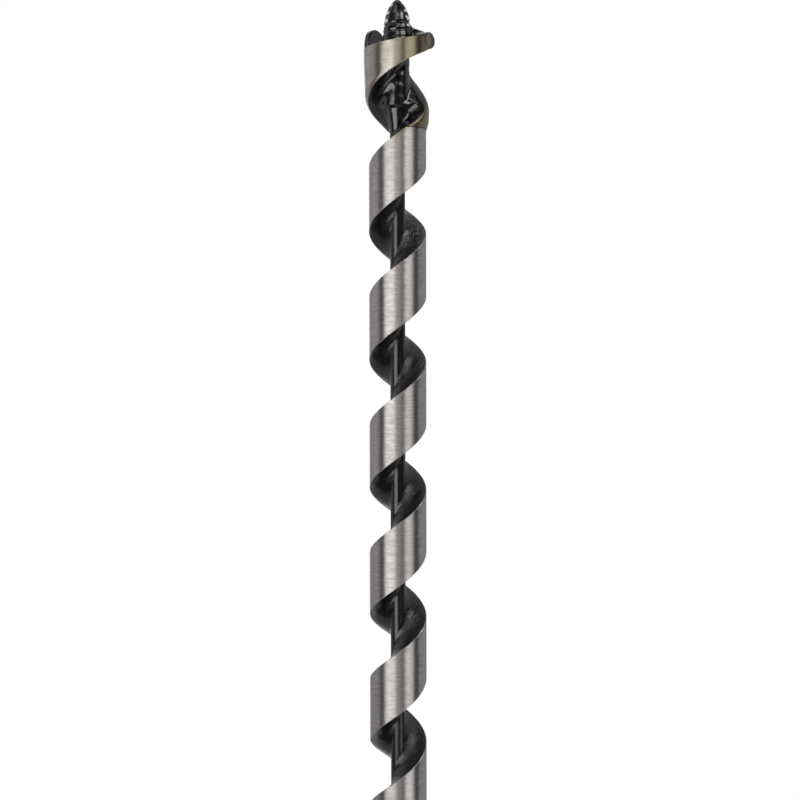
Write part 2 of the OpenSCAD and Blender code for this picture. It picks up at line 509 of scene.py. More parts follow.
@dataclass(frozen=True)
class ThreadWearAndPaintedHighlight:
    """Black lacquered lead screw whose thread crests turn straw-coloured in patches towards the ±X sides:
    partly crest wear, partly a painted highlight.
    """

    name: str
    black: Colour
    crest: Colour
    rough: float
    ior: float
    crest_metal: float = 0.4
    rough_spread: float = 0.08
    side_highlight_span: Span = (0.6, 0.8)
    chips: Noise = Noise((1.0, 1.0, 0.8), 3.0, 0.6)
    chip_span: Span = (0.35, 0.65)
    chip_lift: Span = (-0.6, 0.4)
    wear_and_painted_light_span: Span = (0.52, 0.68)
    grain: Noise = Noise((1.6, 1.6, 1.6))
    grain_span: Span = (0.3, 0.7)
    grain_depth: float = 0.02

    def material(self) -> bpy.types.Material:
        """Builds the material, which reads the thread's crest from the mesh.

        Returns:
            The material.
        """
        shader = Shader(self.name)
        chips = shader.noise(shader.place, self.chips)
        # Straw-coloured crest patches appear only towards the ±X sides, and the chips noise breaks them up:
        # partly crest wear, partly a painted highlight where the screw's limbs catch the bright surround.
        side = shader.math("DIVIDE", shader.math("ABSOLUTE", shader.x), shader.radius())
        wear_and_side_highlight = shader.math("MULTIPLY", shader.attribute("crest"), shader.ranged(side, *self.side_highlight_span))
        wear_and_side_highlight = shader.math("ADD", wear_and_side_highlight, shader.ranged(chips, *self.chip_span, *self.chip_lift))
        worn_and_highlit = shader.ranged(wear_and_side_highlight, *self.wear_and_painted_light_span)
        grain = shader.noise(shader.place, self.grain)
        shader.finish(
            shader.blend(worn_and_highlit, self.black, self.crest),
            shader.math("MULTIPLY", worn_and_highlit, self.crest_metal),
            shader.ranged(grain, *self.grain_span, self.rough, self.rough + self.rough_spread),
            shader.relief(grain, self.grain_depth),
            self.ior,
        )
        return shader.material


@dataclass(frozen=True)
class OxideFinish:
    """Dark oxide on turned steel, thin enough for the turning lines to show."""

    name: str
    dark: Colour
    light: Colour
    metal: float
    smoothest: float
    roughest: float
    lines: Noise = Noise((0.04, 0.04, 2.4), 3.0, 0.65)
    line_span: Span = (0.3, 0.7)
    line_depth: float = 0.002
    cloud: Noise = Noise((0.22, 0.22, 0.08), 4.0, 0.6)
    cloud_span: Span = (0.35, 0.7)

    def material(self) -> bpy.types.Material:
        """Builds the material.

        Returns:
            The material.
        """
        shader = Shader(self.name)
        lines = shader.noise(shader.place, self.lines)
        cloud = shader.noise(shader.place, self.cloud)
        shader.finish(
            shader.blend(shader.ranged(cloud, *self.cloud_span), self.dark, self.light),
            self.metal,
            shader.ranged(lines, *self.line_span, self.smoothest, self.roughest),
            shader.relief(lines, self.line_depth),
        )
        return shader.material


def plain_mesh(name: str, points: np.ndarray, faces: Sequence[Sequence[int]]) -> bpy.types.Mesh:
    """Makes a mesh.

    Args:
        name: the mesh's name.
        points: its points in millimetres.
        faces: its faces, turned outwards.

    Returns:
        The mesh, in metres.
    """
    mesh = bpy.data.meshes.new(name)
    mesh.from_pydata((np.asarray(points) * MM).tolist(), [], [list(map(int, f)) for f in faces])
    mesh.validate()
    return mesh


def strip_faces(rows: int, columns: int, wrap: bool = False) -> list[tuple[int, int, int, int]]:
    """Numbers the faces between neighbouring rows of points.

    Args:
        rows: number of rows.
        columns: number of points in a row.
        wrap: whether each row closes on itself.

    Returns:
        The faces, of four points each.
    """
    faces = []
    for low in range(0, (rows - 1) * columns, columns):
        high = low + columns
        for a in range(columns if wrap else columns - 1):
            b = (a + 1) % columns
            faces.append((low + a, low + b, high + b, high + a))
    return faces


def add_object(name: str, data: bpy.types.ID) -> bpy.types.Object:
    """Puts an object into the scene, at the origin.

    Args:
        name: the object's name.
        data: its mesh, lamp or camera.

    Returns:
        The object.
    """
    made = bpy.data.objects.new(name, data)
    bpy.context.scene.collection.objects.link(made)
    return made


def place_piece(name: str, mesh: bpy.types.Mesh, node: str) -> bpy.types.Object:
    """Puts a finished mesh into the scene in place of a solid.

    Args:
        name: the piece's name.
        mesh: its mesh, with its material.
        node: the solid that it stands for.

    Returns:
        The piece.
    """
    piece = add_object(name, mesh)
    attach(piece, "root")
    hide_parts(node)
    return piece


class GeometryTree(Bench):
    """A Geometry Nodes tree with named inputs."""

    def __init__(self, name: str) -> None:
        """Starts a tree with a geometry input and output.

        Args:
            name: the tree's name.
        """
        super().__init__(bpy.data.node_groups.new(name, "GeometryNodeTree"))
        self.tree.interface.new_socket("Geometry", in_out="INPUT", socket_type="NodeSocketGeometry")
        self.tree.interface.new_socket("Geometry", in_out="OUTPUT", socket_type="NodeSocketGeometry")
        self.inputs = self.node("NodeGroupInput")
        self.values: dict[str, object] = {}

    def size(self, name: str, value: object, kind: str = "NodeSocketFloat") -> Socket:
        """Adds a named input.

        Args:
            name: the input's name.
            value: what the input is set to when the tree runs.
            kind: the input's socket type.

        Returns:
            The socket that the tree reads it from.
        """
        self.tree.interface.new_socket(name, in_out="INPUT", socket_type=kind)
        self.values[name] = value
        return self.inputs.outputs[name]

    def mark(self, geometry: Socket, name: str, value: Socket, kind: str, domain: str) -> Socket:
        """Writes a value under a name onto the geometry's points or faces."""
        inputs = {"Geometry": geometry, "Name": name, "Value": value}
        return self.wired("GeometryNodeStoreNamedAttribute", inputs, data_type=kind, domain=domain).outputs[0]

    def length(self, name: str, millimetres: float) -> Socket:
        """Adds a named input for a length."""
        return self.size(name, millimetres * MM)

    def out_from(self, start: Socket, way: Socket, reach: Socket) -> Socket:
        """Returns the place that lies a reach away from a start, in a direction of length 1."""
        return self.vector("ADD", start, self.grown(way, reach)).outputs[0]

    def close(self, geometry: Socket, material: bpy.types.Material, marked: str = "",
              second: bpy.types.Material | None = None) -> None:
        """Ends the tree: instances become real and everything takes its material.

        Args:
            geometry: the finished geometry.
            material: the material, given as a named input.
            marked: name of the mark on faces that take the second material.
            second: the second material, if there is one.
        """
        real = self.wired("GeometryNodeRealizeInstances", {"Geometry": geometry})
        dressed = self.wired("GeometryNodeSetMaterial", {
            "Geometry": real.outputs[0],
            "Material": self.size("Material", material, "NodeSocketMaterial"),
        })
        if second is not None:
            chosen = self.wired("GeometryNodeInputNamedAttribute", {"Name": marked}, data_type="BOOLEAN")
            dressed = self.wired("GeometryNodeSetMaterial", {
                "Geometry": dressed.outputs[0],
                "Selection": chosen.outputs["Attribute"],
                "Material": self.size("Material on marks", second, "NodeSocketMaterial"),
            })
        self.wired("NodeGroupOutput", {"Geometry": dressed.outputs[0]})

    def run(self, mesh: bpy.types.Mesh) -> bpy.types.Mesh:
        """Runs the tree on a mesh.

        Args:
            mesh: what the tree gets as its geometry.

        Returns:
            The result as a plain mesh.
        """
        carrier = add_object(mesh.name, mesh)
        modifier = carrier.modifiers.new(self.tree.name, "NODES")
        modifier.node_group = self.tree
        for item in self.tree.interface.items_tree:
            if item.in_out == "INPUT" and item.name in self.values:
                modifier[item.identifier] = self.values[item.name]
        graph = bpy.context.evaluated_depsgraph_get()
        result = bpy.data.meshes.new_from_object(carrier.evaluated_get(graph))
        carrier.modifiers.remove(modifier)
        bpy.data.objects.remove(carrier)
        result.name = mesh.name
        return result


def shade(mesh: bpy.types.Mesh, sharp: float = 32.0) -> None:
    """Shades a mesh smoothly, apart from edges that turn more than an angle in degrees."""
    mesh.shade_smooth()
    mesh.set_sharp_from_angle(angle=math.radians(sharp))


@dataclass
class Twist:
    """The twisted body: one outline of land and flute, carried up the axis and turned with the pitch."""

    sizes: BitSizes
    land: GroundSteel
    flute: BlackOxide
    edge_break: float = 0.2
    seam_break: float = 0.14
    wall_fan: float = 2.0
    lead_fillet: float = 1.1
    tint_w: float = 1.5
    tint_l: float = 5.5
    tint_clear: float = 2.0
    tint_edge: float = 0.3
    land_steps: int = 44
    wall_steps: int = 14
    core_steps: int = 14
    ring_step: float = 0.75

    def outline(self) -> np.ndarray:
        """Draws the cross-section, with the land's leading edge on +X.

        Returns:
            The points of its closed outline.
        """
        s = self.sizes
        land_r, core_r = s.body_d / 2, s.core_d / 2
        land = 360 * s.land_share
        slack = math.degrees(self.edge_break / land_r)
        share = np.linspace(1 - self.edge_break / (land_r - core_r), 0, self.wall_steps)
        wall_r = core_r + share * (land_r - core_r)
        lead, trail = (np.degrees(r * np.exp((core_r - wall_r) / r) / wall_r) + (1 - share) * self.wall_fan
                       for r in (self.lead_fillet, s.root_fillet))
        trail = 360 - land - trail
        core = np.linspace(lead[-1], trail[-1], self.core_steps + 1)[1:-1]
        angle = np.concatenate([np.linspace(slack - land, -slack, self.land_steps), lead, core, trail[::-1]])
        around = np.full(self.land_steps, land_r), wall_r, np.full(len(core), core_r), wall_r[::-1]
        radius = np.concatenate(around)
        turn = np.radians(angle)
        return np.stack([radius * np.cos(turn), radius * np.sin(turn), np.zeros_like(turn)], axis=1)

    def tree(self) -> GeometryTree:
        """Builds the tree that sweeps the outline along the axis.

        Returns:
            The tree, ready to run on the outline.
        """
        s = self.sizes
        step_share = s.step_below / (s.step_below + s.step_above)
        tree = GeometryTree("helical_land")
        foot = tree.length("Foot height", s.shank_l)
        seam = tree.length("Seam height", s.head_z)
        lip = tree.length("Lip height", s.lip_z)
        pitch = tree.length("Pitch", s.pitch)
        land_r = tree.length("Land radius", s.body_d / 2)
        core_r = tree.length("Core radius", s.core_d / 2)
        neck_r = tree.length("Neck radius", s.neck_d / 2)
        shoulder = tree.length("Shoulder height", s.shoulder_l)
        runout = tree.length("Run-out length", s.runout_l)
        step = tree.length("Step below the seam", s.step_below)
        flare = tree.length("Flare at the seam", step_share * (s.head_back_d - s.body_d) / 2)
        groove = tree.length("Edge break", self.edge_break)
        notch = tree.length("Seam break", self.seam_break)
        rings = tree.size("Rings", round((s.head_z - s.shank_l) / self.ring_step) + 1, "NodeSocketInt")

        outline = tree.wired("GeometryNodeMeshToCurve", {"Mesh": tree.inputs.outputs["Geometry"]})
        axis = tree.wired("GeometryNodeCurvePrimitiveLine", {
            "Start": tree.joined(0.0, 0.0, foot),
            "End": tree.joined(0.0, 0.0, seam),
        })
        spaced = {"Curve": axis.outputs[0], "Count": rings}
        path = tree.wired("GeometryNodeResampleCurve", spaced, mode="COUNT")
        swept = tree.wired("GeometryNodeCurveToMesh", {
            "Curve": path.outputs[0],
            "Profile Curve": outline.outputs[0],
            "Fill Caps": True,
        })

        x, y, z = tree.split(tree.node("GeometryNodeInputPosition").outputs[0])
        flat = tree.joined(x, y, 0.0)
        radius = tree.vector("LENGTH", flat).outputs["Value"]
        full = tree.ranged(z, foot, tree.math("ADD", foot, shoulder), neck_r, land_r)
        stepped = tree.ranged(z, tree.math("SUBTRACT", seam, step), seam, 0.0, flare)
        notched = tree.ranged(z, tree.math("SUBTRACT", seam, notch), seam, 0.0, notch)
        outer = tree.math("SUBTRACT", tree.math("ADD", full, stepped), notched)
        core = tree.ranged(z, foot, tree.math("ADD", foot, runout), neck_r, core_r)
        web = tree.math("SUBTRACT", land_r, core_r)
        share = tree.math("DIVIDE", tree.math("SUBTRACT", radius, core_r), web)
        moved = tree.math("MULTIPLY_ADD", share, tree.math("SUBTRACT", outer, core), core)
        grown = tree.grown(flat, tree.math("DIVIDE", moved, radius))
        turns = tree.math("DIVIDE", tree.math("SUBTRACT", z, lip), pitch)
        turned = tree.turned(grown, tree.math("MULTIPLY", turns, TURN))
        ground = tree.math("GREATER_THAN", radius, tree.math("SUBTRACT", land_r, groove))
        marked = tree.mark(swept.outputs[0], "ground", ground, "BOOLEAN", "FACE")
        placed = tree.wired("GeometryNodeSetPosition", {
            "Geometry": marked,
            "Position": tree.vector("ADD", turned, tree.joined(0.0, 0.0, z)).outputs[0],
        })
        tree.close(placed.outputs[0], self.flute.material(s), "ground", self.land.material(self.tinted))
        return tree

    def tinted(self, shader: Shader) -> Socket:
        """Gives the temper tint, a strip along the land's trailing edge close below the head.

        Args:
            shader: the land's shader.

        Returns:
            The tint's share, from 0 to 1.
        """
        s = self.sizes
        edge_y = -s.body_d / 2 * math.sin(math.radians(360 * s.land_share))
        _, across, _ = shader.split(shader.untwisted(s))
        strip = shader.ranged(across, edge_y - self.tint_w, -self.tint_w)
        sharp = shader.ranged(strip, 0.0, self.tint_edge)
        near_head = shader.ranged(shader.z, s.head_z - self.tint_l, s.head_z - self.tint_clear)
        return shader.math("MULTIPLY", sharp, near_head)

    def build(self) -> bpy.types.Object:
        """Builds the piece.

        Returns:
            The twist, in place of its solid.
        """
        outline = self.outline()
        mesh = bpy.data.meshes.new("twist_body")
        edges = [(i, (i + 1) % len(outline)) for i in range(len(outline))]
        mesh.from_pydata((outline * MM).tolist(), edges, [])
        swept = self.tree().run(mesh)
        shade(swept)
        return place_piece("twist_body", swept, "twist")


@dataclass
class LeadScrew:
    """The threaded point: a blunt ogive with a coarse right-hand thread, on a plain tang."""

    sizes: BitSizes
    finish: ThreadWearAndPaintedHighlight
    thread_pitch: float = 2.4
    thread_depth: float = 0.26
    thread_from: float = 5.0
    thread_full: float = 7.8
    groove_power: float = 3.0
    lump_h: float = 0.85
    lump_per_mm: float = 0.5
    lump_middle: float = 0.45
    ogive_share: float = 1.08
    fullness: float = 0.65
    row_step: float = 0.1
    around: int = 120
    merge_gap: float = 0.002

    def crest_radius(self, drop: np.ndarray) -> np.ndarray:
        """Returns the radius over the thread's crests.

        Args:
            drop: distances below the point, held to the screw's length.

        Returns:
            The radius at each.
        """
        s = self.sizes
        bare = 1 - np.clip(drop, 0, s.screw_l) / (self.ogive_share * s.screw_l)
        return s.screw_d / 2 * (1 - bare ** 2) ** self.fullness

    def tree(self, material: bpy.types.Material) -> GeometryTree:
        """Builds the tree that bends a sheet round the axis and cuts the thread into it.

        The sheet's long side follows the outline from the point over the thread, the foot and the tang.

        Args:
            material: the piece's material.

        Returns:
            The tree, which makes its own sheet.
        """
        s = self.sizes
        foot_r = float(self.crest_radius(np.array(s.screw_l)))
        row_count = round((s.screw_l + foot_r + s.tang_l) / self.row_step) + 1
        tree = GeometryTree("threaded_point")
        top = tree.length("Point height", s.overall_l)
        length = tree.length("Screw length", s.screw_l)
        ogive = tree.length("Ogive length", self.ogive_share * s.screw_l)
        full_r = tree.length("Full radius", s.screw_d / 2)
        foot = tree.length("Foot radius", foot_r)
        power = tree.size("Ogive fullness", self.fullness)
        pitch = tree.length("Thread pitch", self.thread_pitch)
        depth = tree.length("Thread depth", self.thread_depth)
        thread_from = tree.length("Thread start", self.thread_from)
        thread_full = tree.length("Thread at full depth", self.thread_full)
        lump_h = tree.length("Lump height", self.lump_h)
        lumps = tree.size("Lumps", self.lump_per_mm / MM)
        tang_r = tree.length("Tang radius", s.tang_d / 2)
        tang_l = tree.length("Tang length", s.tang_l)
        rows = tree.size("Rows", row_count, "NodeSocketInt")
        around = tree.size("Steps round", self.around + 1, "NodeSocketInt")

        sheet = tree.wired("GeometryNodeMeshGrid", {"Vertices X": around, "Vertices Y": rows})
        turn, way, _ = tree.split(sheet.outputs["UV Map"])
        total = tree.math("ADD", tree.math("ADD", length, foot), tang_l)
        along = tree.math("MULTIPLY", way, total)
        ledge = tree.math("SUBTRACT", foot, tang_r)
        past = tree.math("SUBTRACT", along, length)
        drop = tree.math("MINIMUM", along, length)
        on_ledge = tree.math("MINIMUM", tree.math("MAXIMUM", past, 0.0), ledge)
        beyond = tree.math("MAXIMUM", tree.math("SUBTRACT", past, ledge), 0.0)
        on_tang = tree.math("MINIMUM", beyond, tang_l)
        on_end = tree.math("MAXIMUM", tree.math("SUBTRACT", beyond, tang_l), 0.0)

        bare = tree.math("SUBTRACT", 1.0, tree.math("DIVIDE", drop, ogive))
        swell = tree.math("SUBTRACT", 1.0, tree.math("MULTIPLY", bare, bare))
        crest_r = tree.math("MULTIPLY", full_r, tree.math("POWER", swell, power))
        phase = tree.math("FRACT", tree.math("ADD", tree.math("DIVIDE", drop, pitch), turn))
        ridge = tree.math("MULTIPLY_ADD", tree.math("COSINE", tree.math("MULTIPLY", phase, TURN)), -0.5, 0.5)
        fade_in = tree.ranged(drop, thread_from, thread_full, smooth=True)
        bite = tree.math("MULTIPLY", fade_in, depth)
        groove = tree.math("POWER", tree.math("SUBTRACT", 1.0, ridge), self.groove_power)
        on_screw = tree.math("SUBTRACT", 1.0, tree.math("DIVIDE", on_ledge, ledge))
        cut = tree.math("MULTIPLY", tree.math("MULTIPLY", bite, groove), on_screw)
        inner = tree.math("ADD", tree.math("ADD", cut, on_ledge), on_end)
        height = tree.math("SUBTRACT", tree.math("SUBTRACT", top, drop), on_tang)
        angle = tree.math("MULTIPLY", turn, TURN)
        way_out = tree.joined(tree.math("COSINE", angle), tree.math("SINE", angle), 0.0)
        level = tree.joined(0.0, 0.0, height)
        lump = tree.wired("ShaderNodeTexNoise", {
            "Vector": tree.out_from(level, way_out, crest_r),
            "Scale": lumps,
            "Detail": 1.0,
        })
        uneven = tree.math("SUBTRACT", lump.outputs["Fac"], self.lump_middle)
        dent = tree.math("MULTIPLY", tree.math("MULTIPLY", uneven, lump_h), fade_in)
        inner = tree.math("ADD", inner, tree.math("MULTIPLY", dent, tree.math("LESS_THAN", along, length)))
        radius = tree.math("MAXIMUM", tree.math("SUBTRACT", crest_r, inner), 0.0)
        placed = tree.wired("GeometryNodeSetPosition", {
            "Geometry": sheet.outputs["Mesh"],
            "Position": tree.out_from(level, way_out, radius),
        })
        marked = tree.mark(placed.outputs[0], "crest", ridge, "FLOAT", "POINT")
        gap = self.merge_gap * MM
        closed = tree.wired("GeometryNodeMergeByDistance", {"Geometry": marked, "Distance": gap})
        outward = tree.wired("GeometryNodeFlipFaces", {"Mesh": closed.outputs[0]})
        tree.close(outward.outputs[0], material)
        return tree

    def build(self) -> bpy.types.Object:
        """Builds the piece.

        Returns:
            The lead screw, in place of its solid.
        """
        made = self.tree(self.finish.material()).run(bpy.data.meshes.new("lead_screw_point"))
        shade(made)
        return place_piece("lead_screw_point", made, "lead_screw")


def soft_least(a: np.ndarray, b: np.ndarray, reach: float | np.ndarray) -> np.ndarray:
    """Returns the lesser of two distances, blended where they are within a reach of each other."""
    near = np.clip(0.5 + 0.5 * (b - a) / reach, 0, 1)
    return b + (a - b) * near - reach * near * (1 - near)


def soft_most(a: np.ndarray, b: np.ndarray, reach: float | np.ndarray) -> np.ndarray:
    """Returns the greater of two distances, blended where they are within a reach of each other."""
    return -soft_least(-a, -b, reach)


def ease(share: np.ndarray) -> np.ndarray:
    """Returns a share of 0 to 1 that eases in and out."""
    held = np.clip(share, 0, 1)
    return held * held * (3 - 2 * held)


Distance = Callable[[np.ndarray], np.ndarray]


def cell_sheets() -> np.ndarray:
    """Works out which sheet of a skin crosses each edge of a lattice cell.

    A cell's corners are numbered x + 2 * y + 4 * z. Its edges are numbered 4 * axis + first + 2 * second,
    where first and second are the edge's offsets along the next two axes.

    Returns:
        The number of the sheet, for each pattern of corners inside the solid and each of the edges.
    """
    corners = range(8)
    edges = []
    for axis in range(3):
        for second, first in np.ndindex(2, 2):
            low = (first << (axis + 1) % 3) + (second << (axis + 2) % 3)
            edges.append((low, low + (1 << axis)))
    sides = [[c for c in corners if c >> axis & 1 == end] for axis in range(3) for end in (0, 1)]
    table = np.zeros((2 ** len(corners), len(edges)), dtype=np.int64)
    for pattern in range(len(table)):
        inside = [pattern >> c & 1 for c in corners]
        crossed = [e for e, (a, b) in enumerate(edges) if inside[a] != inside[b]]
        sheet = list(range(len(edges)))
        for side in sides:
            here = [e for e in crossed if set(edges[e]) <= set(side)]
            pairs = [here]
            if len(here) != 2:
                pairs = [[e for e in here if c in edges[e]] for c in side if inside[c]]
            for pair in pairs:
                sheet = [sheet[pair[0]] if pair and s == sheet[pair[-1]] else s for s in sheet]
        numbers = sorted({sheet[e] for e in crossed})
        for e in crossed:
            table[pattern, e] = numbers.index(sheet[e])
    return table


@dataclass
class LatticeSkin:
    """The skin of a solid that is given as a distance, drawn on a lattice of cells.

    Each sheet of the skin that passes through a cell has one point there. It is set where the planes through
    the sheet's crossings meet best, so edges and corners stay crisp.
    """

    distance: Distance
    low: Sequence[float]
    high: Sequence[float]
    cell: float
    probe: float = 0.004
    pull: float = 0.04

    def normals(self, at: np.ndarray) -> np.ndarray:
        """Finds the outward directions from the distance's slope.

        Args:
            at: points on the skin.

        Returns:
            A direction of length 1 for each.
        """
        steps = self.probe * np.eye(3)
        slope = np.stack([self.distance(at + step) - self.distance(at - step) for step in steps], axis=-1)
        return slope / np.maximum(np.linalg.norm(slope, axis=-1, keepdims=True), TINY)

    def crossings(self, value: np.ndarray, axis: int) -> tuple[np.ndarray, np.ndarray, np.ndarray]:
        """Finds where lattice edges along an axis cross the skin.

        Args:
            value: the distance at every lattice node.
            axis: 0, 1 or 2.

        Returns:
            The lower nodes of the crossed edges, the crossing points, and whether the solid is below.
        """
        first = np.take(value, range(value.shape[axis] - 1), axis)
        second = np.take(value, range(1, value.shape[axis]), axis)
        node = np.argwhere((first < 0) != (second < 0))
        a, b = first[tuple(node.T)], second[tuple(node.T)]
        point = np.array(self.low) + node * self.cell
        point[:, axis] += self.cell * a / (a - b)
        return node, point, a < 0

    def draw(self) -> tuple[np.ndarray, np.ndarray]:
        """Draws the skin.

        Returns:
            Its points and its four-sided faces, turned outwards.
        """
        counts = [int(math.ceil((h - l) / self.cell)) + 1 for l, h in zip(self.low, self.high)]
        nodes = np.stack(np.meshgrid(*[np.arange(n) for n in counts], indexing="ij"), axis=-1)
        value = self.distance(np.array(self.low) + nodes * self.cell)
        inside = np.pad(value < 0, ((0, 1),) * 3).astype(np.int64)
        pattern = sum(inside[x:x + counts[0], y:y + counts[1], z:z + counts[2]] << x + 2 * y + 4 * z
                      for x, y, z in np.ndindex(2, 2, 2)).ravel()
        sheets, most_sheets = cell_sheets(), 4
        steps = ((0, 0), (1, 0), (1, 1), (0, 1))
        around, points, faces = [], [], []
        for axis in range(3):
            node, point, below = self.crossings(value, axis)
            u, v = np.eye(3, dtype=int)[[(axis + 1) % 3, (axis + 2) % 3]]
            ring = np.stack([node - i * u - j * v for i, j in steps], axis=1)
            cells = np.ravel_multi_index(ring.reshape(-1, 3).T, counts).reshape(-1, len(steps))
            edge = [len(steps) * axis + i + 2 * j for i, j in steps]
            cells = most_sheets * cells + sheets[pattern[cells], edge]
            faces.append(np.where(below[:, None], cells, cells[:, ::-1]))
            around.append(cells)
            points.append(point)
        point = np.concatenate(points)
        used, index = np.unique(np.concatenate(around), return_inverse=True)
        placed = self.settle(len(used), index.reshape(-1, len(steps)), point, self.normals(point))
        return placed, np.searchsorted(used, np.concatenate(faces))

    def settle(self, count: int, index: np.ndarray, point: np.ndarray, normal: np.ndarray) -> np.ndarray:
        """Places one point for each sheet.

        Args:
            count: number of sheets.
            index: the four sheets round each crossing.
            point: the crossings.
            normal: the outward direction at each.

        Returns:
            The points.
        """
        sheet = index.ravel()
        spread = np.repeat(np.arange(len(point)), index.shape[1])

        def summed(values: np.ndarray) -> np.ndarray:
            """Adds up rows of values over each sheet's crossings."""
            return np.stack([np.bincount(sheet, column, count) for column in values.T], axis=1)

        p, n = point[spread], normal[spread]
        middle = summed(p) / np.bincount(sheet, minlength=count)[:, None]
        gap = np.sum(n * (p - middle[sheet]), axis=1, keepdims=True)
        square = summed((n[:, :, None] * n[:, None, :]).reshape(len(n), -1)).reshape(-1, 3, 3)
        offset = np.linalg.solve(square + self.pull * np.eye(3), summed(n * gap)[..., None])[..., 0]
        longest = np.linalg.norm(offset, axis=1, keepdims=True)
        return middle + offset * np.minimum(1, self.cell / np.maximum(longest, TINY))


def cut_along(points: np.ndarray, faces: np.ndarray, depth: np.ndarray,
              margin: float = 0.05) -> tuple[np.ndarray, list[list[int]], np.ndarray]:
    """Cuts faces along the line where a value at their points goes through zero.

    Args:
        points: the points.
        faces: four-sided faces.
        depth: the value at each point.
        margin: least share of an edge that a cut leaves on either side.

    Returns:
        The points with those of the line added, the faces, and which of the faces lie above zero.
    """
    on_line = 2
    above = depth > 0
    mixed = above[faces].any(axis=1) != above[faces].all(axis=1)
    rings = faces[~mixed].tolist()
    marks = above[faces[~mixed, 0]].tolist()
    added, places = [], {}
    for face in faces[mixed].tolist():
        ring, sides = [], []
        for a, b in zip(face, face[1:] + face[:1]):
            ring.append(a)
            sides.append(int(above[a]))
            if above[a] != above[b]:
                low, high = min(a, b), max(a, b)
                if (low, high) not in places:
                    share = np.clip(depth[low] / (depth[low] - depth[high]), margin, 1 - margin)
                    places[low, high] = len(points) + len(added)
                    added.append(points[low] + share * (points[high] - points[low]))
                ring.append(places[low, high])
                sides.append(on_line)
        if sides.count(on_line) > 2:
            rings.append(ring)
            marks.append(depth[face].mean() > 0)
            continue
        for side in (0, 1):
            rings.append([p for p, s in zip(ring, sides) if s in (side, on_line)])
            marks.append(bool(side))
    return np.concatenate([points, added]), rings, np.array(marks)


@dataclass(frozen=True)
class Spots:
    """Points in space, in millimetres, read along the bit's axis and round it."""

    x: np.ndarray
    y: np.ndarray
    z: np.ndarray

    @classmethod
    def of(cls, points: np.ndarray) -> "Spots":
        """Takes points apart into their coordinates."""
        return cls(*np.moveaxis(points, -1, 0))

    @cached_property
    def radius(self) -> np.ndarray:
        """Distances from the axis."""
        return np.hypot(self.x, self.y)

    @cached_property
    def angle(self) -> np.ndarray:
        """Angles round the axis, in degrees from +X."""
        return np.degrees(np.arctan2(self.y, self.x))

    def along(self, angle: float) -> tuple[np.ndarray, np.ndarray]:
        """Reads the points along a direction that is square to the axis.

        Args:
            angle: the direction, in degrees from +X.

        Returns:
            How far the points lie out along it, and how far to its left.
        """
        turn = math.radians(angle)
        out = self.x * math.cos(turn) + self.y * math.sin(turn)
        return out, self.y * math.cos(turn) - self.x * math.sin(turn)


